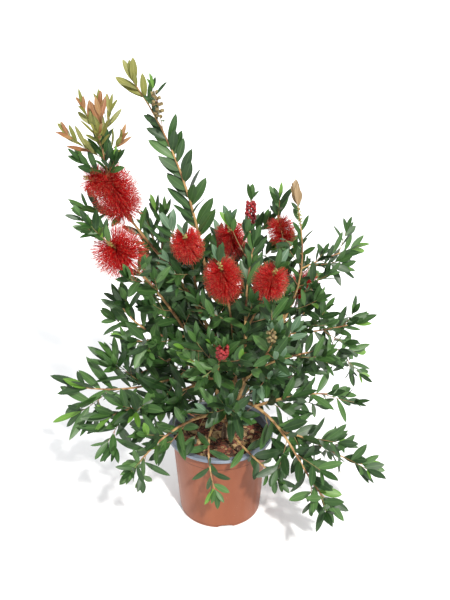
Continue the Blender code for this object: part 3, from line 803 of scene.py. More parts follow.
SCATTER = build_scatter()
CHIP_KINDS = {
    "chips_dark": ((0.045, 0.022, 0.016), (0.09, 0.045, 0.03), (0.012, 0.008, 0.004), 26000.0, 11),
    "chips_red": ((0.17, 0.050, 0.030), (0.25, 0.085, 0.05), (0.018, 0.009, 0.004), 14000.0, 23),
    "chips_tan": ((0.42, 0.27, 0.13), (0.28, 0.17, 0.08), (0.020, 0.010, 0.004), 6400.0, 37),
    "chips_chunk": ((0.50, 0.35, 0.18), (0.36, 0.23, 0.11), (0.032, 0.018, 0.008), 1500.0, 53),
    "chips_straw": ((0.40, 0.31, 0.17), (0.28, 0.20, 0.10), (0.030, 0.0022, 0.0018), 3600.0, 41),
}
for chip_name, (first, second, size, density, seed) in CHIP_KINDS.items():
    flakes = shape_collection(
        chip_name + "_shapes", [flake(f"{chip_name}_{i}", *size, seed + i) for i in range(FLAKES)]
    )
    finish = make_finish(
        chip_name, first, second, patch=140.0, contrast=4.0, rough=(0.75, 0.95), relief=500.0,
        depth=0.0006, strength=0.6, specular=0.3,
    )
    chips = grow(
        chip_name, soil_surface(), SCATTER, Shapes=flakes, Density=density, Tilt=CHIP_TILT,
        Smallest=SMALLEST_CHIP, Seed=seed, Material=finish,
    )
    chips.data.shade_flat()
    settle(chips, "potting_mix", "potting_soil")

# %% [markdown]
# ## The limbs and how they grow
#
# The source of the solids gives each limb a heading and a rise that change evenly along it, and
# this is the same rule again. The first, bare part is bough, and the rest carries leaves. Lengths
# are metres, angles degrees; heading 0 is right, 90 back, 180 left.

# %% List the limbs


@dataclass
class Spike:
    """A flower round its stem, at a share of the limb's length."""

    at: float
    length: float
    width: float
    kind: str = "brush"
    fluff: float = 1.0


@dataclass
class Limb:
    """One shoot, from its seat on its parent to the tip of its last leaf."""

    name: str
    parent: str
    at: float
    heading: float
    turn: float
    rise: float
    lift: float
    length: float
    bare: float
    sway: float = 0.0
    spikes: tuple = ()

    @property
    def stem_end(self):
        """The share at which the stem ends and its last leaf begins."""
        return 1 - TIP_LEAF / self.length


TIP_LEAF = 0.055
LIMBS = [
    Limb(
        "left_leader", "trunk", 0.86, 177, 35, 75, -28, 0.545, 0.50, 0,
        (Spike(0.86, 0.085, 0.074, fluff=1.26),),
    ),
    Limb(
        "high_leader", "trunk", 0.95, 113, 147, 89, 11, 0.770, 0.42, -39,
        (Spike(0.725, 0.118, 0.068, fluff=1.22),),
    ),
    Limb("tall_leader", "trunk", 0.98, 161, -8, 81, -36, 0.780, 0.48, 16),
    Limb("middle_leader", "trunk", 0.99, -54, -69, 46, 87, 0.495, 0.62),
    Limb(
        "centre_shoot", "middle_leader", 0.12, -103, -38, 89, -19, 0.400, 0.30, 0,
        (Spike(0.79, 0.085, 0.070, fluff=0.96),),
    ),
    Limb("rear_shoot", "trunk", 0.92, 78, -23, 63, 47, 0.470, 0.30, 0, (Spike(0.85, 0.070, 0.062),)),
    Limb(
        "flower_shoot", "high_leader", 0.32, -99, -2, 72, -25, 0.310, 0.20, 0,
        (Spike(0.70, 0.080, 0.062, fluff=0.94),),
    ),
    Limb("right_leader", "middle_leader", 0.25, 56, -124, 35, 79, 0.450, 0.68),
    Limb(
        "scarlet_shoot", "middle_leader", 0.55, -1, -43, 66, 5, 0.195, 0.20, 0,
        (Spike(0.65, 0.066, 0.062, fluff=0.98),),
    ),
    Limb(
        "inner_shoot", "right_leader", 0.36, 69, 48, 89, -43, 0.225, 0.22, 0,
        (Spike(0.83, 0.055, 0.052),),
    ),
    Limb("upper_right", "right_leader", 0.64, 29, 0, 11, -13, 0.170, 0.18),
    Limb("right_bough", "right_leader", 0.29, -3, 9, 3, 16, 0.215, 0.20),
    Limb("right_low", "right_leader", 0.09, -3, 51, 33, -78, 0.295, 0.25),
    Limb("sweep", "middle_leader", 0.16, -42, 7, 20, -37, 0.335, 0.46, -51),
    Limb("right_lower", "sweep", 0.14, 3, 33, 22, -61, 0.240, 0.28),
    Limb("right_tip", "sweep", 0.37, 2, -6, -10, 20, 0.240, 0.22, -32),
    Limb("left_upper", "left_leader", 0.40, -151, -77, 1, 72, 0.215, 0.22),
    Limb("left_first", "left_leader", 0.33, 166, 3, -29, -8, 0.200, 0.25),
    Limb("left_second", "left_leader", 0.26, -161, -24, -25, 41, 0.305, 0.33),
    Limb("left_third", "left_leader", 0.18, -155, 0, -6, -1, 0.275, 0.30),
    Limb("left_low", "trunk", 0.77, -121, -34, 47, -120, 0.345, 0.36, 6),
    Limb("front_twig", "trunk", 0.60, -131, 78, 55, -105, 0.225, 0.42, -39),
    Limb("front_right_twig", "trunk", 0.64, -80, 55, 4, -45, 0.220, 0.45, 9),
    Limb("front_spray", "trunk", 0.82, -91, 6, 42, -2, 0.275, 0.28),
    Limb(
        "front_left", "left_leader", 0.12, -93, 18, 44, 13, 0.350, 0.30, 0,
        (Spike(0.79, 0.038, 0.028, "buds"),),
    ),
    Limb("front_right", "middle_leader", 0.30, -58, -13, 47, 16, 0.265, 0.22),
    Limb("rear_bough", "trunk", 0.84, 66, 20, 55, 22, 0.485, 0.34, 0, (Spike(0.90, 0.040, 0.030, "buds"),)),
    Limb("rear_left", "high_leader", 0.20, 127, 0, 38, -38, 0.300, 0.28, 0, (Spike(0.76, 0.078, 0.066),)),
    Limb(
        "rear_right", "middle_leader", 0.20, 62, 0, 36, -40, 0.400, 0.30, 0,
        (Spike(0.78, 0.082, 0.068),),
    ),
    Limb("rear_low_left", "trunk", 0.70, 132, 0, 27, -34, 0.300, 0.30),
    Limb("rear_low_right", "trunk", 0.74, 52, 0, 30, -32, 0.305, 0.30),
]
print("limbs:", len(LIMBS), "flower spikes:", sum(len(limb.spikes) for limb in LIMBS))

# %% [markdown]
# ## Where each limb runs
#
# A limb's path is worked out in even steps from its seat on its parent. The trunk is short: it
# flares at its foot, leans a little and forks within a hand's breadth of the soil.

# %% Work out the paths
PATH_STEPS = 16
TRUNK_FOOT = Vector((0.011, 0.0, 0.1753))
TRUNK_FORK = Vector((0.013, -0.002, 0.237))
TRUNK_LEAN = 0.0015
TRUNK_RADIUS = 0.0062
TRUNK_FLARE = 0.0050
TRUNK_TAPER = 0.12
FOOT_RADIUS = 0.0026
FOOT_RADIUS_PER_METRE = 0.0038
TIP_RADIUS = 0.0010
CHILD_SHARE = 0.85


def trunk_path():
    """The trunk leans a little and bows sideways between its foot and its fork."""
    points = []
    for i in range(6):
        share = i / 5
        point = TRUNK_FOOT.lerp(TRUNK_FORK, share)
        point.y += TRUNK_LEAN * math.sin(math.pi * share)
        points.append(point)
    points[1].x, points[1].y = points[0].x, points[0].y
    return points


def trunk_radius(share):
    """The trunk flares at its foot and tapers to its fork."""
    return TRUNK_RADIUS * (1 - TRUNK_TAPER * share) + TRUNK_FLARE * (1 - share) ** 5


def limb_path(limb, start):
    """The heading turns and the rise changes evenly along a limb."""
    points = [start.copy()]
    step = limb.length / PATH_STEPS
    for i in range(PATH_STEPS):
        share = (i + 0.5) / PATH_STEPS
        heading = math.radians(limb.heading + limb.turn * share)
        rise = math.radians(limb.rise + limb.lift * share + limb.sway * math.sin(math.pi * share))
        level = math.cos(rise)
        way = Vector((level * math.cos(heading), level * math.sin(heading), math.sin(rise)))
        points.append(points[-1] + step * way)
    return points


def along(points, share):
    """The point at a share of a path's length."""
    place = min(max(share, 0.0), 1.0) * (len(points) - 1)
    i = min(int(place), len(points) - 2)
    return points[i].lerp(points[i + 1], place - i)


def way_along(points, share, reach=0.03):
    """The direction of a path round a share of its length."""
    return (along(points, share + reach) - along(points, share - reach)).normalized()


PATHS = {"trunk": trunk_path()}
FEET = {}


def radius_at(name, share):
    """How thick a limb or the trunk is at a share of its length."""
    if name == "trunk":
        return trunk_radius(share)
    return FEET[name] + (TIP_RADIUS - FEET[name]) * share


for limb in LIMBS:
    PATHS[limb.name] = limb_path(limb, along(PATHS[limb.parent], limb.at))
    wanted = FOOT_RADIUS + FOOT_RADIUS_PER_METRE * limb.length
    FEET[limb.name] = min(wanted, CHILD_SHARE * radius_at(limb.parent, limb.at))
print("highest stem tip:", round(max(path[-1].z for path in PATHS.values()), 3), "m")

# %% [markdown]
# ## Wood
#
# A tree of Geometry Nodes sweeps a ring along every limb. Each point carries its thickness, with a
# slight knot wherever a leaf once stood. Noise drawn out along the limb then pushes the skin in
# and out, so the bark's furrows are in the mesh itself and not only in its finish.

# %% Build the tube tree
FURROW_SHAPE = (1.0, 1.0, 0.22)


def build_tubes():
    """Tubes along the edges of a mesh, with the bark's relief in their skin."""
    tree, given, out = geometry_tree(
        "barked_tubes",
        [
            ("Sides", WHOLE, 8),
            ("Furrow Depth", NUMBER, 0.0),
            ("Furrow Scale", NUMBER, 300.0),
            MATERIAL_INPUT,
        ],
    )
    thickness = named_attribute(tree, "thickness", "FLOAT")
    line = add_node(tree, "GeometryNodeMeshToCurve", {"Mesh": given["Geometry"]}).outputs[0]
    limb = add_node(tree, "GeometryNodeSetCurveRadius", {"Curve": line, "Radius": thickness}).outputs[0]
    ring = add_node(tree, "GeometryNodeCurvePrimitiveCircle", {"Resolution": given["Sides"], "Radius": 1.0})
    inputs = {"Curve": limb, "Profile Curve": ring.outputs["Curve"], "Fill Caps": True}
    skin = add_node(tree, "GeometryNodeCurveToMesh", inputs)
    if "Scale" in skin.inputs:
        feed(tree, skin.inputs["Scale"], thickness)
    place = tree.nodes.new("GeometryNodeInputPosition").outputs[0]
    drawn = add_node(tree, "ShaderNodeVectorMath", {0: place, 1: FURROW_SHAPE}, operation="MULTIPLY")
    inputs = {"Vector": drawn.outputs[0], "Scale": given["Furrow Scale"], "Detail": 3.0}
    noise = add_node(tree, "ShaderNodeTexNoise", inputs).outputs["Fac"]
    amount = maths(tree, "MULTIPLY", maths(tree, "SUBTRACT", noise, 0.5), given["Furrow Depth"])
    normal = tree.nodes.new("GeometryNodeInputNormal").outputs["Normal"]
    push = add_node(tree, "ShaderNodeVectorMath", {0: normal, "Scale": amount}, operation="SCALE")
    inputs = {"Geometry": skin.outputs["Mesh"], "Offset": push.outputs[0]}
    finish_tree(tree, add_node(tree, "GeometryNodeSetPosition", inputs).outputs[0], given, out)
    return tree


def lines_mesh(name, lines):
    """Paths with thicknesses, as loose edges that carry the attribute the tree reads."""
    verts, edges, thickness = [], [], []
    for points, radii in lines:
        first = len(verts)
        verts += [tuple(point) for point in points]
        thickness += list(radii)
        edges += [(first + i, first + i + 1) for i in range(len(points) - 1)]
    mesh = bpy.data.meshes.new(name + "_lines")
    mesh.from_pydata(verts, edges, [])
    mesh.attributes.new("thickness", "FLOAT", "POINT").data.foreach_set("value", thickness)
    return mesh


TUBES = build_tubes()
print("tube tree inputs:", [item.name for item in TUBES.interface.items_tree if item.in_out == "INPUT"])

# %% [markdown]
# Older wood is grey tan with furrows; boughs are golden tan where the light falls. The trunk, the
# boughs and the leafy stems are three pieces, because their bark differs.

# %% Clothe trunk and boughs in bark
KNOT_SPACING = 0.016
KNOT_SWELL = 0.13
KNOT_EDGE = 0.72
BARK_STEP = 0.004
SOIL_DIP = 0.004
TRUNK_STEPS = 24
TRUNK_TOP_SHARE = 0.7


def knotted(radius, distance):
    """The thickness with a small ring-like knot at every old leaf scar."""
    near = abs((distance / KNOT_SPACING) % 1.0 - 0.5) * 2
    return radius * (1 + KNOT_SWELL * max(0.0, near - KNOT_EDGE) / (1 - KNOT_EDGE))


def limb_line(limb, first, last, step):
    """Part of a limb as points and thicknesses."""
    count = max(3, round(limb.length * (last - first) / step))
    shares = [first + (last - first) * i / count for i in range(count + 1)]
    points = [along(PATHS[limb.name], share) for share in shares]
    return points, [knotted(radius_at(limb.name, share), share * limb.length) for share in shares]


def trunk_line():
    """The trunk, sunk a little into the lumpy soil, with a rounded top inside the fork."""
    shares = [i / TRUNK_STEPS for i in range(TRUNK_STEPS + 1)]
    points = [along(PATHS["trunk"], share) for share in shares]
    radii = [trunk_radius(share) for share in shares]
    points[0] = points[0] - Vector((0.0, 0.0, SOIL_DIP))
    radii[-1] *= TRUNK_TOP_SHARE
    return points, radii


old_bark = make_finish(
    "old_bark", (0.30, 0.22, 0.15), (0.15, 0.095, 0.06), patch=120.0, stretch=0.25, contrast=4.0,
    speck=(0.42, 0.36, 0.28), rarity=0.62, speck_scale=320.0, rough=(0.75, 0.92), relief=480.0,
    depth=0.0009, strength=0.8, specular=0.3,
)
bough_bark = make_finish(
    "bough_bark", (0.47, 0.30, 0.12), (0.24, 0.125, 0.052), patch=90.0, stretch=0.3, contrast=4.0,
    speck=(0.50, 0.42, 0.31), rarity=0.65, speck_scale=350.0, rough=(0.62, 0.85), relief=520.0,
    depth=0.0006, strength=0.7, specular=0.35,
)
trunk = grow(
    "trunk_bark", lines_mesh("trunk", [trunk_line()]), TUBES, Sides=28, Furrow_Depth=0.0011,
    Furrow_Scale=330.0, Material=old_bark,
)
settle(trunk, "bark", "trunk")
bough_lines = [limb_line(limb, 0.0, limb.bare + 0.01, BARK_STEP) for limb in LIMBS]
boughs = grow(
    "bough_bark", lines_mesh("boughs", bough_lines), TUBES, Sides=12, Furrow_Depth=0.0006,
    Furrow_Scale=420.0, Material=bough_bark,
)
settle(boughs, "bark", *BOUGH_NODES)

# %% [markdown]
# ## Room to grow
#
# A leaf may not pass through a flower, the pot, the floor or a bough, and a twig stays nearer to
# its own stem than to its neighbours'. The solids were grown under the same test. The leaves here
# have one more: flowers push out to the light and a few golden stems show through the crown, so
# no leaf may stand just in front of them, seen from the camera's side.

# %% Write the space test
SPACE_REACH = 0.115
SPACE_MARGIN = 0.0012
BARK_MARGIN = 0.0010
STEM_ROOM = 0.006
LOWEST = 0.010
POT_MARGIN = 0.004
OPEN_SIDE = np.array((0.0, -0.87, 0.49))
OPEN_REACH = 0.110
OPEN_SHARE = 0.72
BACK_LIMBS = ("rear_left", "rear_right")
STAND_PROUD = 0.016
SHOWN_STEMS = {
    "high_leader": (0.26, 0.64),
    "left_leader": (0.34, 0.78),
    "right_leader": (0.40, 0.90),
    "sweep": (0.05, 0.60),
}
SHOWN_REACH = 0.100
SHOWN_ROOM = 0.0055


def path_pieces(name, first, last, count=12):
    """Part of a path as an array of the two ends of each piece."""
    shares = np.linspace(first, last, count + 1)
    points = np.array([along(PATHS[name], share) for share in shares])
    return np.stack([points[:-1], points[1:]], axis=1)


def distances(points, pieces):
    """How far each point is from each piece."""
    start = pieces[None, :, 0]
    run = pieces[None, :, 1] - start
    share = ((points[:, None] - start) * run).sum(-1) / (run * run).sum(-1)
    nearest = start + run * np.clip(share, 0.0, 1.0)[..., None]
    return np.linalg.norm(points[:, None] - nearest, axis=-1)


WOOD = np.concatenate([path_pieces("trunk", 0, 1)] + [path_pieces(l.name, 0, l.bare) for l in LIMBS])
WOOD_THICK = np.repeat([TRUNK_RADIUS] + [FEET[l.name] for l in LIMBS], 12)
LEAFY = {limb.name: path_pieces(limb.name, limb.bare, 1.0) for limb in LIMBS}
BOX_LOW = np.array(FRAME_BOX[0]) - STAND_PROUD
BOX_HIGH = np.array(FRAME_BOX[1]) + STAND_PROUD


def spike_frame(limb, spike):
    """A flower's middle, its direction and its half sizes."""
    path = PATHS[limb.name]
    return along(path, spike.at), way_along(path, spike.at, 0.04), spike.length / 2, spike.width / 2


SHOWN_POINTS = np.concatenate([
    path_pieces(name, first, last, 40)[:, 0] for name, (first, last) in SHOWN_STEMS.items()
])
SPIKE_FRAMES = [(limb.name, *spike_frame(limb, spike)) for limb in LIMBS for spike in limb.spikes]


def in_a_flower(points):
    """Whether any point lies in a flower."""
    for _, middle, ahead, half_length, half_width in SPIKE_FRAMES:
        offset = points - np.array(middle)
        forward = offset @ np.array(ahead)
        sideways = np.linalg.norm(offset - forward[:, None] * np.array(ahead), axis=1)
        inside = (forward / half_length) ** 2 + (sideways / half_width) ** 2 < 1
        if inside.any():
            return True
    return False


def before_a_flower(points):
    """Whether any point would hide a flower from the front, where it has pushed out to the light."""
    for name, middle, _, _, half_width in SPIKE_FRAMES:
        if name in BACK_LIMBS:
            continue
        offset = points - np.array(middle)
        forward = offset @ OPEN_SIDE
        sideways = np.linalg.norm(offset - forward[:, None] * OPEN_SIDE, axis=1)
        if ((forward > 0) & (forward < OPEN_REACH) & (sideways < OPEN_SHARE * half_width)).any():
            return True
    return False


def before_a_stem(points):
    """Whether any point would hide one of the stems that show as golden lines from the front."""
    offset = points[:, None] - SHOWN_POINTS[None]
    forward = offset @ OPEN_SIDE
    sideways = np.linalg.norm(offset - forward[..., None] * OPEN_SIDE, axis=-1)
    return bool(((forward > 0) & (forward < SHOWN_REACH) & (sideways < SHOWN_ROOM)).any())


def clear_of_things(points):
    """Whether points clear the floor, the pot, the flowers, the wood and the frame's box."""
    if points[:, 2].min() < LOWEST or (points < BOX_LOW).any() or (points > BOX_HIGH).any():
        return False
    from_axis = np.hypot(points[:, 0], points[:, 1])
    if ((from_axis < RIM_RADIUS + POT_MARGIN) & (points[:, 2] < POT_HEIGHT + POT_MARGIN)).any():
        return False
    if (distances(points, WOOD) < WOOD_THICK + BARK_MARGIN).any():
        return False
    return not in_a_flower(points)


def clear_of_stems(limb, points):
    """Whether points keep off every other limb's leafy stem."""
    others = np.concatenate([pieces for name, pieces in LEAFY.items() if name != limb.name])
    return not (distances(points, others) < STEM_ROOM).any()


def in_own_space(limb, points):
    """Whether points are nearer to their own stem than to any other one."""
    own = distances(points, LEAFY[limb.name]).min(axis=1)
    if (own > SPACE_REACH).any():
        return False
    others = np.concatenate([pieces for name, pieces in LEAFY.items() if name != limb.name])
    return not (own + SPACE_MARGIN > distances(points, others).min(axis=1)).any()


print("wood pieces tested:", len(WOOD), "flowers kept clear:", len(SPIKE_FRAMES))

# %% [markdown]
# ## Habits of growth
#
# Leaves follow one another round a stem by the golden angle. They stand off widely at the foot of
# a shoot and close in towards its tip, and they lean to the light. Side twigs leave it about half
# a turn apart, and the longest carry still smaller ones. Most limbs are bushy, but not all:
# the tallest is a plain wand whose large leaves lie almost in one plane, the long sweep and its
# tip keep their twigs low, and those in front of the pot are sparse. A habit holds such
# differences, so that one rule grows every limb.

# %% Set the rules of growth
GOLDEN_TURN = math.radians(137.5)
LEAF_LENGTH = 0.052
LEAF_WIDTH = 0.0165
LENGTH_SPAN = (0.80, 1.18)
WIDTH_SPAN = (0.84, 1.14)
LIGHTWARD = 0.22
TO_LIGHT = Vector((0.2, -1.0, 0.35))
LEAF_TRIES = (1.0, 0.72, 0.48)
TWIG_SHARE = 0.34
TWIG_SPREAD = math.radians(47)
TWIG_RADIUS = 0.00095
TWIG_SWINGS = (0.0, 1.3, -1.3, 2.6)
TWIG_STEPS = 6
TWIG_SWAY = 0.18
TWIG_SPAN = (0.72, 1.12)
TWIG_TURNS = 1.31
TWIG_SHORTENING = 0.35
LEAF_SHAPES = 5
# Painted shade: how far the leaves of inner twigs are tipped towards deep green.
PAINTED_HEART_SHADE = 0.45
LAST_LEAF = 0.97
TUFT_LEAVES = 3
TUFT_TURN = 2.1
TUFT_SIZE = 0.76
TUFT_SHRINK = 0.1
TUFT_CLOSED = 0.12
TUFT_OPENING = 0.27
TWIGLET_SPREAD = math.radians(44)
TWIGLET_RADIUS = 0.0006
TWIGLET_PLACES = (0.42, 0.66)
LONG_TWIG = 0.070
INNER_FROM = 0.25
INNER_SPACING = 0.024
INNER_LENGTHS = (0.045, 0.080)


@dataclass
class Habit:
    """How densely a limb is clothed, and how its leaves and twigs stand.

    leaf and slim scale the leaves' size and width, and lit says how far they face the light. Leaves
    start at leafy_from of the bare part and halve in number past thin_from. lift bends side twigs
    up, upward raises single leaves, and flat draws leaves to the stem's two sides.
    """

    leaf: float = 1.0
    slim: float = 1.0
    lit: float = 1.6
    spacing: float = 0.0120
    leafy_from: float = 0.62
    thin_from: float = 2.0
    spread_foot: float = 62.0
    spread_tip: float = 28.0
    twigs_until: float = 1.0
    twig_spacing: float = 0.040
    twig_longest: float = 0.110
    inner_twigs: bool = True
    hanging: bool = False
    lift: float = 0.35
    upward: float = 1.0
    stem_to: float = 0.0
    flat: float = 0.0
    tip: str = "tuft"


BUSHY = Habit(leaf=0.98)
AIRY = Habit(leaf=0.92, slim=1.02, lit=2.4, spacing=0.0110, twig_spacing=0.042)
FRONT = Habit(leaf=1.0, leafy_from=0.92, inner_twigs=False, twig_longest=0.085)
HANGING = Habit(
    leaf=0.88, spacing=0.0090, leafy_from=0.95, twigs_until=0.0, inner_twigs=False, hanging=True,
    upward=0.3, stem_to=0.90, spread_tip=45.0,
)
HABITS = {
    "tall_leader": Habit(
        leaf=1.06, slim=0.94, lit=3.0, spacing=0.0082, spread_foot=46.0, spread_tip=42.0, stem_to=0.945,
        flat=0.62, tip="fan", leafy_from=1.08, thin_from=0.80, twigs_until=0.0,
    ),
    "high_leader": Habit(
        leaf=1.0, slim=0.76, lit=2.0, spacing=0.0095, spread_foot=50.0, spread_tip=18.0, twigs_until=0.54,
        stem_to=0.965,
    ),
    "right_leader": Habit(
        leaf=0.62, spacing=0.0100, leafy_from=0.8, twigs_until=0.76, twig_longest=0.06, stem_to=0.935,
        tip="bud",
    ),
    "left_second": Habit(leaf=1.52, slim=0.74, spacing=0.0125, twig_spacing=0.062),
    "left_third": Habit(leaf=1.38, slim=0.80, spacing=0.0125, twig_spacing=0.048, lift=0.18),
    "rear_low_left": Habit(leaf=0.85, twig_longest=0.050, stem_to=0.78),
    "left_upper": Habit(leaf=1.10),
    "left_first": Habit(leaf=1.0, twig_longest=0.050, stem_to=0.70),
    "left_low": Habit(leaf=1.0, leafy_from=1.15, twig_spacing=0.058, twig_longest=0.075, lift=0.1),
    "upper_right": AIRY,
    "right_bough": AIRY,
    "right_low": AIRY,
    "rear_right": Habit(leaf=0.95),
    "rear_bough": Habit(leaf=0.95, twigs_until=0.70),
    "front_left": FRONT,
    "front_right": FRONT,
    "front_twig": HANGING,
    "front_right_twig": HANGING,
    "front_spray": Habit(leaf=1.05, leafy_from=0.9, inner_twigs=False, twig_longest=0.07),
    "sweep": Habit(
        leaf=1.20, leafy_from=0.50, twig_spacing=0.060, twig_longest=0.075, spread_tip=38.0, lift=-0.15,
        upward=0.2,
    ),
    "right_tip": Habit(
        leaf=1.10, leafy_from=0.45, twig_spacing=0.060, twig_longest=0.070, spread_tip=38.0, lift=-0.10,
        upward=0.1,
    ),
    "right_lower": Habit(leaf=0.95, leafy_from=0.35, twig_spacing=0.056),
}
print("limbs with a habit of their own:", len(HABITS))

# %% [markdown]
# ## Putting a leaf in its place
#
# A leaf is only a place here: a matrix with its root, its direction, the way its blade faces and
# its size. Where it would touch something it is laid closer to its twig, and where even that
# fails it is left out. Low over the front of the pot hardly a leaf is left, and the bark mix shows.

# %% Write how one leaf is placed
LEAF_KINDS = ("deep", "mid", "light", "lime", "olive", "copper", "silver", "blush")
BARE_HEART = 0.130
BARE_HEART_SIDES = (-0.090, 0.050)
BARE_HEART_RISE = 0.010
BARE_HEART_SLOPE = 0.52
BARE_HEART_SHARE = 0.90
FACE_AHEAD = 0.7
FACE_UP = Vector((0.0, 0.0, 0.6))
ALMOST_ALONG = 0.05
leaves = {kind: [] for kind in LEAF_KINDS}
stem_lines = []
shoot_lines = []
OUTLINE = [Vector((share, side * 0.4, 0.0)) for share in (0.35, 0.6, 0.8, 1.0) for side in (-1, 0, 1)]


def side_directions(ahead):
    """Two directions square to a twig."""
    first = ahead.cross(Vector((0.0, 0.0, 1.0)))
    if first.length < ALMOST_ALONG:
        first = Vector((1.0, 0.0, 0.0))
    first.normalize()
    return first, first.cross(ahead).normalized()


def leaning(ahead, angle, spread):
    """A direction that leaves a twig at an angle round it and a spread from it."""
    first, second = side_directions(ahead)
    return ahead * math.cos(spread) + (first * math.cos(angle) + second * math.sin(angle)) * math.sin(spread)


def leaf_matrix(root, ahead, facing, size):
    """The matrix that puts a leaf at its root, pointing ahead, with its blade facing a way."""
    face = (facing - ahead * facing.dot(ahead)).normalized()
    side = face.cross(ahead)
    length, width = size
    columns = [(*(ahead * length), 0), (*(side * width), 0), (*(face * length), 0), (*root, 1)]
    return Matrix(columns).transposed()


def in_bare_heart(outline):
    """Whether a leaf would hang low over the pot."""
    from_axis = np.hypot(outline[:, 0], outline[:, 1])
    left, right = BARE_HEART_SIDES
    towards_front = np.clip(-outline[:, 1] - 0.01, 0.0, None)
    within = (from_axis < BARE_HEART) & (outline[:, 0] > left) & (outline[:, 0] < right)
    low = outline[:, 2] < SOIL_TOP + BARE_HEART_RISE + BARE_HEART_SLOPE * towards_front
    return bool((low & within).any())


def add_leaf(habit, seat, ahead, angle, spread, size, kind, draw):
    """Put one leaf on a twig, closer to it if need be, or skip it if it has no room."""
    shape, tone, luck = draw.randrange(LEAF_SHAPES), draw.random(), draw.random()
    for share in LEAF_TRIES:
        way = leaning(ahead, angle, spread * share)
        way.z += LIGHTWARD * share * habit.upward
        way.normalize()
        facing = ahead * FACE_AHEAD + FACE_UP + TO_LIGHT * luck * habit.lit
        if facing.cross(way).length < ALMOST_ALONG:
            facing = TO_LIGHT
        place = leaf_matrix(seat, way, facing, size)
        outline = np.array([place @ point for point in OUTLINE])
        if not clear_of_things(outline) or before_a_flower(outline) or before_a_stem(outline):
            continue
        if habit.hanging or luck > BARE_HEART_SHARE or not in_bare_heart(outline):
            leaves[kind].append((place, shape, tone))
        return


print("leaf kinds:", ", ".join(LEAF_KINDS))

# %% [markdown]
# Most leaves are mid or deep green. Young ones near a tip are lighter, and a few shoots are special:
# the tops of the two tall leaders end in olive and copper leaves, and some rosettes under the
# flowers are grey green. On the short twigs in the heart of the crown the deep green wins more
# often, as painted shade. A leaf's kind follows from where it stands, and each kind is one plain
# colour with two tones.

# %% Choose each leaf's kind and size
YOUNG_TOPS = {"high_leader": 0.865, "tall_leader": 0.885}
SILVER_TIPS = ("centre_shoot", "rear_shoot", "front_right", "front_spray", "flower_shoot", "scarlet_shoot")
NEAR_TIP = 0.75
SILVER_CHANCE = 0.45
LIME_CHANCE = 0.10
COPPER_CHANCE = 0.06
COPPER_RISE = 0.42
LIGHT_CHANCE = 0.16
LIGHT_RISE = 0.26
MID_CHANCE = 0.70


def leaf_kind(limb, share, tip, draw, shade=0.0):
    """The kind of a leaf at a share of a limb; tip is 0 at a twig's foot and 1 at its end."""
    # A higher shade tips the draw towards deep green: painted shade.
    chance = shade + (1 - shade) * draw.random()
    if share > YOUNG_TOPS.get(limb.name, 2.0):
        if limb.name == "tall_leader":
            return "olive"
        return "copper" if chance < COPPER_CHANCE + COPPER_RISE * tip else "olive"
    if limb.name in SILVER_TIPS and tip > NEAR_TIP and chance < SILVER_CHANCE:
        return "silver"
    if tip > NEAR_TIP and chance < LIME_CHANCE:
        return "lime"
    if chance < LIGHT_CHANCE + LIGHT_RISE * tip:
        return "light"
    if chance < MID_CHANCE:
        return "mid"
    return "deep"


def leaf_size(draw, habit, scale):
    """A leaf's length and width."""
    size = habit.leaf * scale
    length = LEAF_LENGTH * size * draw.uniform(*LENGTH_SPAN)
    return length, LEAF_WIDTH * size * habit.slim * draw.uniform(*WIDTH_SPAN)


def flattened(angle, share):
    """An angle round a stem, brought nearer to the closer one of its two sides."""
    side = math.copysign(math.pi / 2, math.sin(angle))
    off = (angle - side + math.pi) % math.tau - math.pi
    return side + off * (1 - share)


def spread_at(habit, done):
    """How far leaves stand off a stem: widely at its foot, closer towards its tip."""
    return math.radians(habit.spread_foot + (habit.spread_tip - habit.spread_foot) * done**2)


def bend_up(seat, ahead, length, draw, lift):
    """A side twig's path: it sets off on its way and bends to the light."""
    sway = Vector((draw.uniform(-TWIG_SWAY, TWIG_SWAY), draw.uniform(-TWIG_SWAY, TWIG_SWAY), 0.0))
    points, way = [seat.copy()], ahead.copy()
    for _ in range(TWIG_STEPS):
        points.append(points[-1] + way * length / TWIG_STEPS)
        way = (way + (Vector((0.0, 0.0, lift)) + sway) / TWIG_STEPS).normalized()
    return points


print("young tops:", YOUNG_TOPS)

# %% [markdown]
# ## Twigs
#
# A twig is leafy over its outer part and ends in a tuft of three. It is tried at a few angles
# round its stem until it finds room, as a real one grows into the gap that is left.

# %% Write how a twig grows


def dress_twig(limb, habit, share, points, draw, spacing=0.0112, small=1.0, first=0.22, shade=0.0):
    """Leaves round the outer part of a twig and a few close ones at its tip."""
    length = sum((b - a).length for a, b in zip(points, points[1:]))
    count = max(2, round(length * (1 - first) / spacing))
    turn = draw.uniform(0, math.tau)
    for i in range(count):
        place = first + (LAST_LEAF - first) * (i + 0.5) / count
        spread = spread_at(habit, place)
        size = leaf_size(draw, habit, small * (0.80 + 0.20 * math.sin(math.pi * min(1.0, place + 0.1))))
        kind = leaf_kind(limb, share, place, draw, shade)
        ahead = way_along(points, place, 0.08)
        add_leaf(habit, along(points, place), ahead, turn + i * GOLDEN_TURN, spread, size, kind, draw)
    ahead = way_along(points, 1.0, 0.1)
    for i in range(TUFT_LEAVES):
        size = leaf_size(draw, habit, small * (TUFT_SIZE - TUFT_SHRINK * i))
        kind = leaf_kind(limb, share, 1.0, draw, shade)
        spread = TUFT_CLOSED + TUFT_OPENING * i
        add_leaf(habit, points[-1], ahead, turn + i * TUFT_TURN, spread, size, kind, draw)


def keep_twig(points, radius):
    """Keep a twig's path with its thicknesses, for the tube tree."""
    shoot_lines.append((points, [radius * (1 - 0.5 * i / TWIG_STEPS) for i in range(TWIG_STEPS + 1)]))


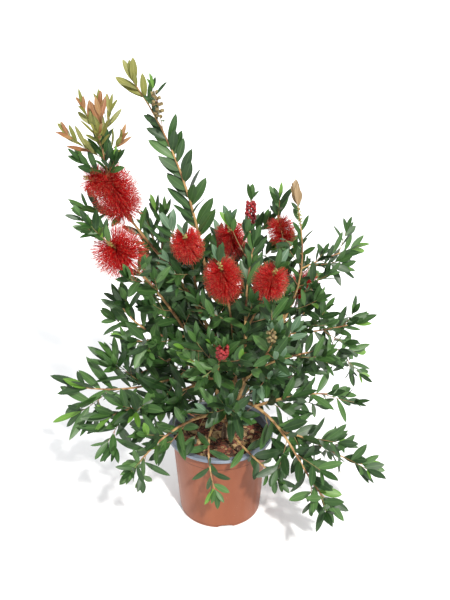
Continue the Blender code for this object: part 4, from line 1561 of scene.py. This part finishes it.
def grow_side_twig(limb, habit, share, angle, length, draw, level=1):
    """One side twig with its leaves and its own smaller twigs."""
    path = PATHS[limb.name]
    seat = along(path, share)
    for swing in TWIG_SWINGS:
        way = leaning(way_along(path, share), angle + swing, TWIG_SPREAD)
        points = bend_up(seat, way, length, draw, habit.lift)
        line = np.array([along(points, 0.25 + 0.75 * i / 6) for i in range(7)])
        roomy = in_own_space if level == 1 else clear_of_stems
        if in_bare_heart(line) or not clear_of_things(line) or not roomy(limb, line):
            continue
        keep_twig(points, min(TWIG_RADIUS, radius_at(limb.name, share) * 0.8))
        dress_twig(limb, habit, share, points, draw, shade=0.0 if level == 1 else PAINTED_HEART_SHADE)
        if level == 1 and length > LONG_TWIG:
            grow_twiglets(limb, habit, share, points, length, draw)
        return


def grow_twiglets(limb, habit, share, twig, length, draw):
    """Two smallest twigs on a side twig."""
    turn = draw.uniform(0, math.tau)
    for i, place in enumerate(TWIGLET_PLACES):
        ahead = way_along(twig, place, 0.1)
        way = leaning(ahead, turn + i * GOLDEN_TURN, TWIGLET_SPREAD)
        points = bend_up(along(twig, place), way, length * draw.uniform(0.42, 0.56), draw, habit.lift)
        line = np.array(points[2:])
        if clear_of_things(line) and in_own_space(limb, line):
            keep_twig(points, TWIGLET_RADIUS)
            dress_twig(limb, habit, share, points, draw, small=0.84, first=0.3)


print("a twig has", TWIG_STEPS, "steps")

# %% [markdown]
# ## Limbs
#
# Now every limb grows: its stem, the leaves on it and its side twigs. Short twigs on the outer
# three quarters of each bough fill the heart of the crown, where the shrub is densest and darkest.

# %% Grow the shrub
PAST_FLOWER = 0.012
LAST_END = 0.97
BUD_LEAVES = 9
BUD_LEAF_LENGTH = 0.050
BUD_LEAF_SHRINK = 0.0026
BUD_LEAF_WIDTH = 0.0135
BUD_CLOSED = 0.05
BUD_OPENING = 0.028
END_LEAVES = 4
END_TURN = 2.3
END_CLOSED = 0.10
END_OPENING = 0.23
FLOWERING_END = 0.78
PLAIN_END = 0.92
FAN = (
    (0.905, -90, 34, 0.066),
    (0.895, 90, 36, 0.050),
    (0.945, 90, 8, 0.046),
    (0.945, 60, 24, 0.042),
    (0.93, 120, 45, 0.030),
)
FAN_SLIM = 0.27


def in_own_flower(limb, share, core):
    """Whether a share of a limb's length is in the core of one of its flowers."""
    return any(abs(share - spike.at) * limb.length < core * spike.length / 2 for spike in limb.spikes)


def stem_end(limb, habit):
    """The share of a limb at which its stem ends and its last tuft begins."""
    past_flower = [spike.at + spike.length / 2 / limb.length + PAST_FLOWER for spike in limb.spikes]
    return min(LAST_END, max([habit.stem_to or limb.stem_end] + past_flower))


def dress_stem(limb, habit, draw):
    """Leaves round a limb's stem, down to the outer part of its bough."""
    path, end, first = PATHS[limb.name], stem_end(limb, habit), limb.bare * habit.leafy_from
    count = max(4, round(limb.length * (end - first) / habit.spacing))
    turn = draw.uniform(0, math.tau)
    for i in range(count):
        share = first + (end - first) * (i + 0.6) / count
        if in_own_flower(limb, share, 0.72) or (share > habit.thin_from and i % 2):
            continue
        done = max(0.0, (share - limb.bare) / (end - limb.bare))
        size = leaf_size(draw, habit, 1.06 - 0.28 * done**3)
        kind = leaf_kind(limb, share, done**2, draw)
        ahead, angle = way_along(path, share), flattened(turn + i * GOLDEN_TURN, habit.flat)
        add_leaf(habit, along(path, share), ahead, angle, spread_at(habit, done), size, kind, draw)


def end_stem(limb, habit, draw):
    """What a stem ends in: a tuft of four leaves, a closed bud of blushing ones or an open fan."""
    path, end = PATHS[limb.name], stem_end(limb, habit)
    ahead = way_along(path, end)
    if habit.tip == "bud":
        for i in range(BUD_LEAVES):
            size = (BUD_LEAF_LENGTH - BUD_LEAF_SHRINK * i, BUD_LEAF_WIDTH)
            spread = BUD_CLOSED + BUD_OPENING * i
            add_leaf(habit, along(path, end), ahead, i * GOLDEN_TURN, spread, size, "blush", draw)
        return
    if habit.tip == "fan":
        for share, angle, spread, length in FAN:
            seat, size = along(path, share), (length, length * FAN_SLIM)
            add_leaf(habit, seat, ahead, math.radians(angle), math.radians(spread), size, "olive", draw)
        return
    scale = FLOWERING_END if limb.spikes else PLAIN_END
    for i in range(END_LEAVES):
        size = leaf_size(draw, habit, scale - TUFT_SHRINK * i)
        kind = leaf_kind(limb, end, 1.0, draw)
        spread = END_CLOSED + END_OPENING * i
        add_leaf(habit, along(path, end), ahead, i * END_TURN, spread, size, kind, draw)


def grow_side_twigs(limb, habit, draw):
    """Side twigs along the leafy stem, and short ones on the bough past its foot."""
    turn = draw.uniform(0, math.tau)
    last = min(limb.stem_end, habit.twigs_until)
    count = max(0, round(limb.length * (last - limb.bare) / habit.twig_spacing))
    for i in range(count):
        share = limb.bare + (last - limb.bare) * (i + 0.35) / count
        length = min(habit.twig_longest, limb.length * TWIG_SHARE) * draw.uniform(*TWIG_SPAN)
        length *= 1 - TWIG_SHORTENING * i / count
        if not in_own_flower(limb, share, 1.0):
            grow_side_twig(limb, habit, share, turn + i * GOLDEN_TURN * TWIG_TURNS, length, draw)
    if habit.inner_twigs:
        count = max(1, round(limb.length * limb.bare * (1 - INNER_FROM) / INNER_SPACING))
        for i in range(count):
            share = limb.bare * (INNER_FROM + (1 - INNER_FROM) * (i + 0.5) / count)
            length = draw.uniform(*INNER_LENGTHS)
            grow_side_twig(limb, habit, share, turn + 1.0 + i * GOLDEN_TURN, length, draw, level=2)


for limb in LIMBS:
    draw = random.Random(limb.name)
    habit = HABITS.get(limb.name, BUSHY)
    stem_lines.append(limb_line(limb, limb.bare - 0.01, stem_end(limb, habit), 0.005))
    dress_stem(limb, habit, draw)
    end_stem(limb, habit, draw)
    grow_side_twigs(limb, habit, draw)
print("leaves:", sum(len(found) for found in leaves.values()), "twigs:", len(shoot_lines))

# %% [markdown]
# ## Shoots of their own
#
# Some shoots follow no spiral. Above the highest flower the shoot forks into five reddish young
# ones, and the tall wand forks near its top into its tip and a twig that carries last year's seed
# capsules. Two more such twigs stand beside the lower flower and in front. Green shoots close gaps
# in the crown and reach forward where the solids do. All are listed one by one: their seat, their way
# and their length.

# %% Grow the special shoots


@dataclass
class Shoot:
    """A listed shoot on a limb."""

    limb: str
    at: float
    way: tuple
    length: float
    leaf: float
    spacing: float = 0.0075
    lift: float = 0.35
    spread: tuple = (34.0, 18.0)
    slim: float = 0.86


YOUNG_SHOOTS = [
    Shoot("high_leader", 0.835, (-0.80, -0.10, 0.46), 0.080, 0.86, slim=0.70),
    Shoot("high_leader", 0.870, (-0.42, 0.22, 0.80), 0.078, 0.84, slim=0.70),
    Shoot("high_leader", 0.845, (0.70, -0.20, 0.50), 0.046, 0.80, slim=0.70),
    Shoot("high_leader", 0.880, (0.30, 0.50, 0.80), 0.062, 0.80, slim=0.70),
    Shoot("high_leader", 0.860, (-0.10, -0.70, 0.75), 0.060, 0.80, slim=0.70),
]
GREEN_SHOOTS = [
    Shoot("high_leader", 0.780, (-0.75, -0.30, 0.45), 0.060, 0.95),
    Shoot("high_leader", 0.790, (0.30, -0.55, 0.60), 0.050, 0.95),
    Shoot("high_leader", 0.800, (-0.10, 0.60, 0.70), 0.055, 0.95),
    Shoot("left_leader", 0.93, (-0.55, -0.35, 0.75), 0.050, 1.05, 0.0090, 0.35, (60.0, 35.0)),
    Shoot("rear_bough", 0.80, (0.65, -0.35, 0.55), 0.060, 0.95, 0.0095, 0.35, (60.0, 30.0)),
    Shoot("inner_shoot", 0.95, (0.05, -0.30, 0.90), 0.048, 0.90, 0.0085, 0.35, (50.0, 25.0)),
    Shoot("high_leader", 0.650, (-0.93, -0.30, 0.16), 0.080, 1.12, 0.0095, 0.30, (60.0, 35.0)),
    Shoot("rear_low_left", 0.20, (-0.80, 0.15, -0.12), 0.085, 0.95, 0.0085, 0.0, (65.0, 40.0)),
    Shoot("rear_low_right", 0.20, (0.80, 0.10, -0.12), 0.080, 0.95, 0.0085, 0.0, (65.0, 40.0)),
    Shoot("sweep", 0.78, (0.25, -0.93, -0.10), 0.062, 1.15, 0.0110, 0.0, (60.0, 34.0)),
    Shoot("left_low", 0.76, (-0.30, -0.90, 0.12), 0.060, 0.95, 0.0100, 0.0, (60.0, 34.0)),
    Shoot("front_left", 0.64, (-0.35, -0.90, 0.10), 0.080, 0.95, 0.0100, 0.1, (60.0, 30.0)),
    Shoot("right_leader", 0.42, (0.62, -0.45, 0.40), 0.080, 0.95, 0.0095, 0.35, (60.0, 30.0)),
    Shoot("right_leader", 0.55, (0.60, -0.30, 0.30), 0.070, 0.95, 0.0095, 0.35, (60.0, 30.0)),
]
CAPSULE_SHOOTS = [
    Shoot("tall_leader", 0.805, (-0.12, -0.20, 0.95), 0.100, 0.72, 0.030, 0.05, (70.0, 50.0)),
    Shoot("left_leader", 0.915, (-0.62, -0.05, 0.62), 0.075, 0.80, 0.014, 0.30, (60.0, 40.0)),
    Shoot("front_right", 0.70, (-0.05, -0.50, 0.60), 0.060, 0.70, 0.024, 0.30, (60.0, 40.0)),
]
BARE_FOOT = 0.12


def grow_shoot(shoot, share, draw):
    """A listed shoot with its leaves."""
    limb = next(limb for limb in LIMBS if limb.name == shoot.limb)
    way = Vector(shoot.way).normalized()
    points = bend_up(along(PATHS[limb.name], shoot.at), way, shoot.length, draw, shoot.lift)
    keep_twig(points, TWIG_RADIUS)
    foot, tip = shoot.spread
    habit = Habit(leaf=shoot.leaf, slim=shoot.slim, lit=2.0, spread_foot=foot, spread_tip=tip)
    dress_twig(limb, habit, share, points, draw, spacing=shoot.spacing, first=BARE_FOOT)
    return points


draw = random.Random(17)
for shoot in YOUNG_SHOOTS:
    grow_shoot(shoot, 1.0, draw)
for shoot in GREEN_SHOOTS:
    grow_shoot(shoot, 0.0, draw)
capsule_lines = [grow_shoot(shoot, 0.0, draw) for shoot in CAPSULE_SHOOTS]
print("shoots placed by hand:", len(YOUNG_SHOOTS) + len(GREEN_SHOOTS) + len(CAPSULE_SHOOTS))

# %% [markdown]
# The stems' bark is smooth and golden. Its dark, reddish second tone, laid in patches, is painted
# shade that stands for a shaded side. The youngest twigs are thin and reddish. Both are made by the
# tube tree, with fewer sides than the boughs.

# %% Make stems and twigs
# Painted shade: the stems' second, darker tone.
stem_finish = make_finish(
    "stem_bark", (0.44, 0.27, 0.11), (0.20, 0.085, 0.040), patch=70.0, stretch=0.4, contrast=4.5,
    rough=(0.5, 0.75), relief=600.0, depth=0.0003, strength=0.5, specular=0.4,
)
shoot_finish = make_finish(
    "young_twig", (0.30, 0.12, 0.060), (0.24, 0.20, 0.08), patch=45.0, contrast=4.0,
    rough=(0.45, 0.7), relief=700.0, depth=0.0002, strength=0.4, specular=0.4,
)
stems = grow(
    "leafy_stems", lines_mesh("stems", stem_lines), TUBES, Sides=8, Furrow_Depth=0.0003,
    Furrow_Scale=500.0, Material=stem_finish,
)
settle(stems, "bark", *MASS_NODES)
shoots = grow(
    "young_twigs", lines_mesh("shoots", shoot_lines), TUBES, Sides=5, Furrow_Depth=0.0,
    Furrow_Scale=500.0, Material=shoot_finish,
)
settle(shoots, "bark", *MASS_NODES)

# %% [markdown]
# ## Leaf blades
#
# A leaf is a strip two faces wide. Its half width follows a sine that is drawn out towards one
# end, the two halves fold up a little along the midrib, and the blade curls back towards its
# tip. Five shapes differ in width, fold, curl and twist, so no two neighbours look stamped.

# %% Shape the leaves
BLADE_STEPS = 9


def blade(name, widest, fullness, fold, curl, twist):
    """One leaf a metre long and a metre wide, pointing along X with its face up."""
    verts, uvs = [], []
    for i in range(BLADE_STEPS + 1):
        share = i / BLADE_STEPS
        power = math.log(0.5) / math.log(widest)
        half = 0.5 * max(0.0, math.sin(math.pi * share**power)) ** fullness
        if i == 0:
            half = 0.04
        for side in (-1, 0, 1):
            turn = twist * share
            y, z = side * half, abs(side) * half * fold
            y, z = y * math.cos(turn) - z * math.sin(turn), y * math.sin(turn) * 0.3 + z
            verts.append((share, y, z * 0.26 - curl * share**2))
            uvs.append((share, 0.5 + 0.5 * side * half * 2))
    faces = []
    for i in range(BLADE_STEPS):
        row = 3 * i
        faces.append((row, row + 3, row + 4, row + 1))
        faces.append((row + 1, row + 4, row + 5, row + 2))
    mesh = bpy.data.meshes.new(name)
    mesh.from_pydata(verts, [], faces)
    layer = mesh.uv_layers.new(name="UVMap")
    for loop in mesh.loops:
        layer.data[loop.index].uv = uvs[loop.vertex_index]
    return mesh


LEAF_FORMS = shape_collection(
    "leaf_forms",
    [
        blade("leaf_form_0", 0.52, 0.68, 0.18, 0.07, 0.0),
        blade("leaf_form_1", 0.54, 0.64, 0.30, 0.13, 0.25),
        blade("leaf_form_2", 0.49, 0.76, 0.14, 0.04, -0.25),
        blade("leaf_form_3", 0.55, 0.70, 0.40, 0.17, 0.1),
        blade("leaf_form_4", 0.51, 0.72, 0.24, -0.05, -0.1),
    ],
)

# %% [markdown]
# Another tree puts one of the shapes on every point, turned and sized as the point says, and
# twists it a little at random. Every point also carries a tone, which the realized leaf keeps,
# so that neighbours of one kind differ slightly in brightness.

# %% Build the leafing tree


def build_leafing():
    """One shape on every point, by the point's own attributes."""
    tree, given, out = geometry_tree("leafing", [*SHAPES_INPUTS, ("Twist", NUMBER, 0.35)])
    back = maths(tree, "MULTIPLY", given["Twist"], -1.0)
    twist = random_value(tree, back, given["Twist"], given["Seed"])
    turn = turn_further(tree, named_attribute(tree, "turn", "FLOAT_VECTOR"), vector(tree, twist))
    points = add_node(tree, "GeometryNodeMeshToPoints", {"Mesh": given["Geometry"]}).outputs[0]
    size = named_attribute(tree, "size", "FLOAT_VECTOR")
    put_shapes(
        tree, given, out, points, turn, size, Instance_Index=named_attribute(tree, "shape", "INT")
    )
    return tree


def points_mesh(name, placed):
    """Loose points that carry a turn, a size, a shape number and a tone."""
    places, turns, sizes = [], [], []
    for matrix, _, _ in placed:
        place, turn, size = matrix.decompose()
        places.append(tuple(place))
        turns += list(turn.to_euler())
        sizes += list(size)
    mesh = bpy.data.meshes.new(name + "_points")
    mesh.from_pydata(places, [], [])
    mesh.attributes.new("turn", "FLOAT_VECTOR", "POINT").data.foreach_set("vector", turns)
    mesh.attributes.new("size", "FLOAT_VECTOR", "POINT").data.foreach_set("vector", sizes)
    mesh.attributes.new("shape", "INT", "POINT").data.foreach_set("value", [row[1] for row in placed])
    mesh.attributes.new("tone", "FLOAT", "POINT").data.foreach_set("value", [row[2] for row in placed])
    return mesh


LEAFING = build_leafing()
print("leafing tree has", len(LEAFING.nodes), "nodes")

# %% [markdown]
# ## The leaves' finish
#
# A bottlebrush leaf is smooth and leathery, with a soft gloss and a pale midrib. The midrib reads
# the blade's own UV map, and the tone attribute shifts the whole leaf between two greens.

# %% Paint and place the leaves
LEAF_SPECULAR = 0.42
LEAF_ROUGH = (0.38, 0.55)
MIDRIB_WIDTH = 0.055
CLOUD_DARK = (0.82, 0.82, 0.82)
CLOUD_PALE = (1.08, 1.08, 1.08)


def build_midrib():
    """A mask that is 1 on the midrib, from the blade's UV map."""
    tree, given, out = group_tree("midrib", "ShaderNodeTree", [("Width", NUMBER, 0.05)], [("Mask", NUMBER)])
    chart = add_node(tree, "ShaderNodeUVMap", {}, uv_map="UVMap").outputs["UV"]
    across = add_node(tree, "ShaderNodeSeparateXYZ", {"Vector": chart}).outputs["Y"]
    off = maths(tree, "ABSOLUTE", maths(tree, "SUBTRACT", across, 0.5))
    share = maths(tree, "DIVIDE", off, given["Width"])
    feed(tree, out["Mask"], maths(tree, "SUBTRACT", 1.0, share, clamp=True))
    return tree


MIDRIB = build_midrib()


def leaf_finish(name, low, high, rib):
    """A leaf's two tones, its pale midrib, soft gloss and faint unevenness."""
    material, tree, shader = new_material(name, LEAF_SPECULAR)
    tone = add_node(tree, "ShaderNodeAttribute", {}, attribute_name="tone").outputs["Fac"]
    clouds = use_group(tree, PATCHES, First=CLOUD_DARK, Second=CLOUD_PALE, Scale=60.0)
    body = mix_colours(tree, 1.0, mix_colours(tree, tone, low, high), clouds["Colour"], "MULTIPLY")
    mask = use_group(tree, MIDRIB, Width=MIDRIB_WIDTH)["Mask"]
    feed(tree, shader["Base Color"], mix_colours(tree, mask, body, rib))
    height = use_group(tree, RELIEF, Scale=240.0, Fine_Scale=900.0)["Height"]
    add_surface(tree, shader, clouds["Mask"], LEAF_ROUGH, height, strength=0.25, depth=0.0004)
    return material


LEAF_COLOURS = {
    "deep": ((0.013, 0.041, 0.009), (0.020, 0.057, 0.012), (0.042, 0.086, 0.023)),
    "mid": ((0.022, 0.064, 0.013), (0.035, 0.091, 0.018), (0.063, 0.131, 0.033)),
    "light": ((0.041, 0.106, 0.022), (0.062, 0.141, 0.031), (0.100, 0.181, 0.051)),
    "lime": ((0.082, 0.195, 0.019), (0.113, 0.245, 0.028), (0.163, 0.275, 0.051)),
    "olive": ((0.144, 0.158, 0.027), (0.209, 0.206, 0.046), (0.275, 0.262, 0.085)),
    "copper": ((0.237, 0.093, 0.035), (0.318, 0.170, 0.066), (0.370, 0.248, 0.118)),
    "silver": ((0.082, 0.155, 0.085), (0.112, 0.194, 0.112), (0.184, 0.260, 0.163)),
    "blush": ((0.240, 0.158, 0.075), (0.300, 0.208, 0.110), (0.330, 0.245, 0.145)),
}
for number, (kind, found) in enumerate(leaves.items()):
    if found:
        foliage = grow(
            "leaves_" + kind, points_mesh(kind, found), LEAFING, Shapes=LEAF_FORMS, Twist=0.45,
            Seed=number + 1, Material=leaf_finish("leaf_" + kind, *LEAF_COLOURS[kind]),
        )
        settle(foliage, "foliage", *MASS_NODES)

# %% [markdown]
# ## The brushes
#
# A bottlebrush flower is a spike of florets that spiral round the stem, and each floret is a
# small green cup from which a tuft of long red stamens fans out. The tree below follows that: it
# spaces florets on the spike's axis, turns each by the golden angle, lets the first lean back and
# the last lean forward, and fans a number of shapes out of every floret. Run with filaments it
# gives the red brush, with anthers the pale specks at their ends, and with cups the green core.

# %% Build the brush tree
LENGTH_LUCK = (0.86, 1.10)


def build_brush():
    """Florets in a spiral round an axis, each a fan of shapes."""
    tree, given, out = geometry_tree(
        "bottlebrush",
        [
            *SHAPES_INPUTS,
            ("Florets", WHOLE, 40),
            ("In Each", WHOLE, 20),
            ("Fan", NUMBER, 0.75),
            ("Lean", NUMBER, 0.9),
            ("Reach", NUMBER, 0.03),
            ("Thickness", NUMBER, 1.0),
            ("Taper", NUMBER, 0.25),
        ],
    )
    florets, in_each = given["Florets"], given["In Each"]
    axis = add_node(tree, "GeometryNodeMeshToCurve", {"Mesh": given["Geometry"]}).outputs[0]
    count = maths(tree, "MULTIPLY", florets, in_each)
    seats = add_node(tree, "GeometryNodeCurveToPoints", {"Curve": axis, "Count": count}, mode="COUNT")

    index = tree.nodes.new("GeometryNodeInputIndex").outputs[0]
    floret = maths(tree, "FLOOR", maths(tree, "DIVIDE", maths(tree, "ADD", index, 0.5), in_each))
    inner = maths(tree, "SUBTRACT", index, maths(tree, "MULTIPLY", floret, in_each))
    inner_share = maths(tree, "SQRT", maths(tree, "DIVIDE", inner, in_each))
    share = maths(tree, "DIVIDE", maths(tree, "ADD", floret, 0.5), florets)
    off_middle = maths(tree, "SUBTRACT", share, 0.5)
    forward = maths(tree, "MULTIPLY", off_middle, given["Lean"])

    rotation = seats.outputs["Rotation"]
    for angles in (
        {"z": maths(tree, "MULTIPLY", floret, GOLDEN_TURN)},
        {"y": maths(tree, "SUBTRACT", math.pi / 2, forward)},
        {"z": maths(tree, "MULTIPLY", inner, GOLDEN_TURN)},
        {"y": maths(tree, "MULTIPLY", inner_share, given["Fan"])},
    ):
        rotation = turn_further(tree, rotation, vector(tree, **angles))

    luck = random_value(tree, *LENGTH_LUCK, given["Seed"])
    bulge = maths(tree, "MULTIPLY", maths(tree, "MULTIPLY", off_middle, off_middle), 4.0)
    oval = maths(tree, "SUBTRACT", 1.0, maths(tree, "MULTIPLY", bulge, given["Taper"]))
    reach = maths(tree, "MULTIPLY", maths(tree, "MULTIPLY", given["Reach"], oval), luck)
    size = vector(tree, given["Thickness"], given["Thickness"], reach)
    put_shapes(tree, given, out, seats.outputs["Points"], rotation, size, Instance_Index=index)
    return tree


BRUSH = build_brush()
print("brush tree has", len(BRUSH.nodes), "nodes")

# %% [markdown]
# A filament is a thin three-sided tube that bows slightly, so it costs few faces. It is one metre
# long here, and the tree gives it its real length. An anther is a small grain at the same tip.

# %% Shape filaments, anthers and cups
FILAMENT_RADIUS = 0.00030
FILAMENT_STEPS = 3
BOWS = ((0.05, 0.01), (-0.04, 0.04), (0.02, -0.05), (-0.02, -0.03))
TYPICAL_REACH = 0.031
ANTHER_SIZE = (0.0010, 0.0010, 0.045)


def bow_at(bow, share):
    """How far a filament has bowed sideways, in metres, at a share of its length."""
    bend = TYPICAL_REACH * share**2
    return bow[0] * bend, bow[1] * bend


def filament(name, bow):
    """A bowed, tapering, three-sided tube along Z, with a length of one."""
    bm = bmesh.new()
    rings = []
    corners = [(math.cos(k * math.tau / 3), math.sin(k * math.tau / 3)) for k in range(3)]
    for i in range(FILAMENT_STEPS + 1):
        share = i / FILAMENT_STEPS
        x, y = bow_at(bow, share)
        radius = FILAMENT_RADIUS * (1.15 - 0.5 * share)
        rings.append([bm.verts.new((x + radius * a, y + radius * b, share)) for a, b in corners])
    for low, high in zip(rings, rings[1:]):
        for k in range(3):
            bm.faces.new((low[k], low[(k + 1) % 3], high[(k + 1) % 3], high[k]))
    bm.faces.new(reversed(rings[0]))
    bm.faces.new(rings[-1])
    return mesh_of(bm, name)


def grain(name, place, size, segments, rings):
    """A small closed ball, stretched to a size, at a place."""
    bm = bmesh.new()
    bmesh.ops.create_uvsphere(bm, u_segments=segments, v_segments=rings, radius=0.5)
    for vert in bm.verts:
        vert.co = Vector([vert.co[i] * size[i] + place[i] for i in range(3)])
    return mesh_of(bm, name)


def anther(name, bow):
    """A grain at the tip of a filament."""
    return grain(name, (*bow_at(bow, 1.0), 1.0), ANTHER_SIZE, 4, 3)


FILAMENTS = shape_collection("filaments", [filament(f"filament_{i}", bow) for i, bow in enumerate(BOWS)])
ANTHERS = shape_collection("anthers", [anther(f"anther_{i}", bow) for i, bow in enumerate(BOWS)])
CUPS = shape_collection("cups", [grain("cup_0", (0.0, 0.0, 0.5), (1.0, 1.0, 1.0), 8, 6)])

# %% [markdown]
# Nine spikes bloom, two more are in bud, and a small tenth brush sits in the edge of the largest.
# Each brush gets its own number of florets from its length, and its stamens reach the width that
# the solids give it. Stamens, anthers and cups are grown apart and joined, each kind by itself.

# %% Make the brushes
FLORETS_PER_METRE = 900
STAMENS = 34
STAMEN_FAN = 0.60
STAMEN_THICKNESS = 1.25
BRUSH_REACH = 1.10
LEAN_SHARE = 0.45
CUP_LENGTH = 0.0066
CUP_WIDTH = 0.0042
CUPS_AHEAD = 0.007
SIDE_GAP = 0.004

stamen_red = make_finish(
    "stamen_red", (0.62, 0.009, 0.007), (0.31, 0.002, 0.004), patch=120.0, contrast=4.0,
    rough=(0.45, 0.6), relief=700.0, depth=0.0001, strength=0.1, specular=0.35,
)
anther_finish = make_finish(
    "anther_straw", (0.46, 0.19, 0.08), (0.32, 0.08, 0.05), patch=200.0, contrast=5.0,
    rough=(0.6, 0.8), relief=700.0, depth=0.0001, strength=0.1,
)
cup_green = make_finish(
    "floret_cup", (0.30, 0.30, 0.07), (0.22, 0.13, 0.05), patch=160.0, contrast=4.0,
    rough=(0.55, 0.75), relief=600.0, depth=0.0002, strength=0.3,
)


def line_mesh(points):
    """Points joined by edges, for the brush tree."""
    mesh = bpy.data.meshes.new("line")
    mesh.from_pydata([tuple(point) for point in points], [(i, i + 1) for i in range(len(points) - 1)], [])
    return mesh


def side_brush(name, share, way, length, width):
    """The frame of a small brush on a short side shoot, which sits in the edge of a large one."""
    ahead = Vector(way).normalized()
    return along(PATHS[name], share) + ahead * (length / 2 + SIDE_GAP), ahead, length / 2, width / 2, 1.0


brushes = [
    (*spike_frame(limb, spike), spike.fluff)
    for limb in LIMBS for spike in limb.spikes if spike.kind == "brush"
]
brushes.append(side_brush("high_leader", 0.755, (-0.90, -0.20, 0.38), 0.050, 0.058))


def brush_parts(name, shapes, thickness, finish, stamens=True):
    """The stamens, the anthers or the cups of every brush."""
    parts = []
    shift = 0.0 if stamens else CUPS_AHEAD
    for number, (middle, ahead, half_length, half_width, fluff) in enumerate(brushes):
        reach = half_width * BRUSH_REACH * fluff
        half = half_length - LEAN_SHARE * reach + shift
        line = line_mesh([middle + ahead * shift + ahead * half * (i / 4 - 1) for i in range(9)])
        parts.append(grow(
            f"{name}_{number}", line, BRUSH, Shapes=shapes, Florets=round(half_length * FLORETS_PER_METRE),
            In_Each=STAMENS if stamens else 1, Fan=STAMEN_FAN if stamens else 0.0, Lean=1.0, Taper=0.20,
            Reach=reach if stamens else CUP_LENGTH, Thickness=thickness, Seed=number + 1, Material=finish,
        ))
    return parts


red_parts = brush_parts("red", FILAMENTS, STAMEN_THICKNESS, stamen_red)
anther_parts = brush_parts("anther", ANTHERS, 1.0, anther_finish)
cup_parts = brush_parts("cup", CUPS, CUP_WIDTH, cup_green, stamens=False)
print("triangles in one brush:", triangles(red_parts[0]), "and its anthers:", triangles(anther_parts[0]))

# %% Join the brushes into a few pieces
MOST_IN_PIECE = 190000


def join_pieces(name, parts):
    """Several plain mesh objects joined into one."""
    bm = bmesh.new()
    material = parts[0].data.materials[0]
    for part in parts:
        bm.from_mesh(part.data)
    mesh = mesh_of(bm, name)
    mesh.materials.append(material)
    for part in parts:
        bpy.data.objects.remove(part, do_unlink=True)
    return show(name, mesh)


def join_under_limit(name, parts):
    """Join parts into as many pieces as keep each under the limit of triangles."""
    groups, held = [[]], 0
    for part in parts:
        if held + triangles(part) > MOST_IN_PIECE:
            groups.append([])
            held = 0
        groups[-1].append(part)
        held += triangles(part)
    for i, group in enumerate(groups):
        settle(join_pieces(f"{name}_{i + 1}", group), "foliage", *MASS_NODES)


join_under_limit("red_stamens", red_parts)
join_under_limit("anthers", anther_parts)
join_under_limit("floret_cups", cup_parts)

# %% [markdown]
# ## Buds and capsules
#
# Two young spikes haven't opened: their round crimson buds sit in rows round the stem. Smaller
# green buds stand under the blushing tip on the right. Where last year's flowers were, woody
# capsules are left, squat cups pressed to the twig. The brush tree makes all of them, with one
# shape in each floret.

# %% Shape the buds and capsules
CAPSULE_SECTION = (
    (0, 0), (0.1, 0), (0.1, 0.35), (0.38, 0.42), (0.5, 0.65), (0.46, 0.92), (0.3, 0.97), (0, 0.8),
)

BUDS = shape_collection("buds", [grain("bud_0", (0.0, 0.0, 0.75), (1.0, 1.0, 0.62), 10, 7)])
CAPSULES = shape_collection("capsules", [spun("capsule_0", CAPSULE_SECTION, 8, closed=False)])

# %% Make the buds and capsules
BUD_SIZE = 0.0078
BUD_REACH = 0.0125
BUDS_IN_ROWS = 40
GREEN_BUD_SIZE = 0.0032
GREEN_BUD_REACH = 0.0050
GREEN_BUDS = 26
GREEN_BUD_STRETCH = (0.845, 0.925)
CAPSULE_SIZE = 0.0070
CAPSULE_REACH = 0.0105
CAPSULES_IN_ROWS = 17
CAPSULE_STRETCH = (0.36, 0.90)


def rows(name, path, stretch, shapes, count, reach, size, finish, lean=0.6):
    """Shapes in a spiral round a stretch of a path."""
    first, last = stretch
    line = line_mesh([along(path, first + (last - first) * i / 8) for i in range(9)])
    return grow(
        name, line, BRUSH, Shapes=shapes, Florets=count, In_Each=1, Fan=0.0, Lean=lean, Reach=reach,
        Thickness=size, Taper=0.25, Seed=3, Material=finish,
    )


bud_crimson = make_finish(
    "bud_crimson", (0.33, 0.009, 0.014), (0.21, 0.012, 0.012), patch=140.0, contrast=4.0,
    rough=(0.45, 0.6), relief=500.0, depth=0.0003, strength=0.4,
)
bud_green = make_finish(
    "bud_green", (0.20, 0.27, 0.07), (0.28, 0.30, 0.10), patch=160.0, contrast=3.0,
    rough=(0.5, 0.65), relief=500.0, depth=0.0002, strength=0.3,
)
capsule_brown = make_finish(
    "capsule_brown", (0.26, 0.20, 0.075), (0.13, 0.085, 0.035), patch=180.0, contrast=4.0,
    speck=(0.33, 0.28, 0.18), rarity=0.62, rough=(0.6, 0.85), relief=500.0, depth=0.0004, strength=0.6,
)
crimson_rows = []
for limb in LIMBS:
    for spike in limb.spikes:
        if spike.kind == "buds":
            half = spike.length / 2 / limb.length
            crimson_rows.append(rows(
                "bud_rows", PATHS[limb.name], (spike.at - half, spike.at + half), BUDS, BUDS_IN_ROWS,
                BUD_REACH, BUD_SIZE, bud_crimson,
            ))
settle(join_pieces("crimson_buds", crimson_rows), "foliage", *MASS_NODES)
green_rows = rows(
    "green_buds", PATHS["right_leader"], GREEN_BUD_STRETCH, BUDS, GREEN_BUDS, GREEN_BUD_REACH,
    GREEN_BUD_SIZE, bud_green,
)
settle(green_rows, "foliage", *MASS_NODES)
capsule_rows = [
    rows(
        "capsule_rows", path, CAPSULE_STRETCH, CAPSULES, CAPSULES_IN_ROWS, CAPSULE_REACH, CAPSULE_SIZE,
        capsule_brown, lean=0.2,
    )
    for path in capsule_lines
]
settle(join_pieces("seed_capsules", capsule_rows), "foliage", *MASS_NODES)

# %% Write the sizes and finish
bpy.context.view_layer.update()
total = sum(triangles(obj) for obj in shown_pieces() if obj.type == "MESH")
print("all pieces together have", total, "triangles")
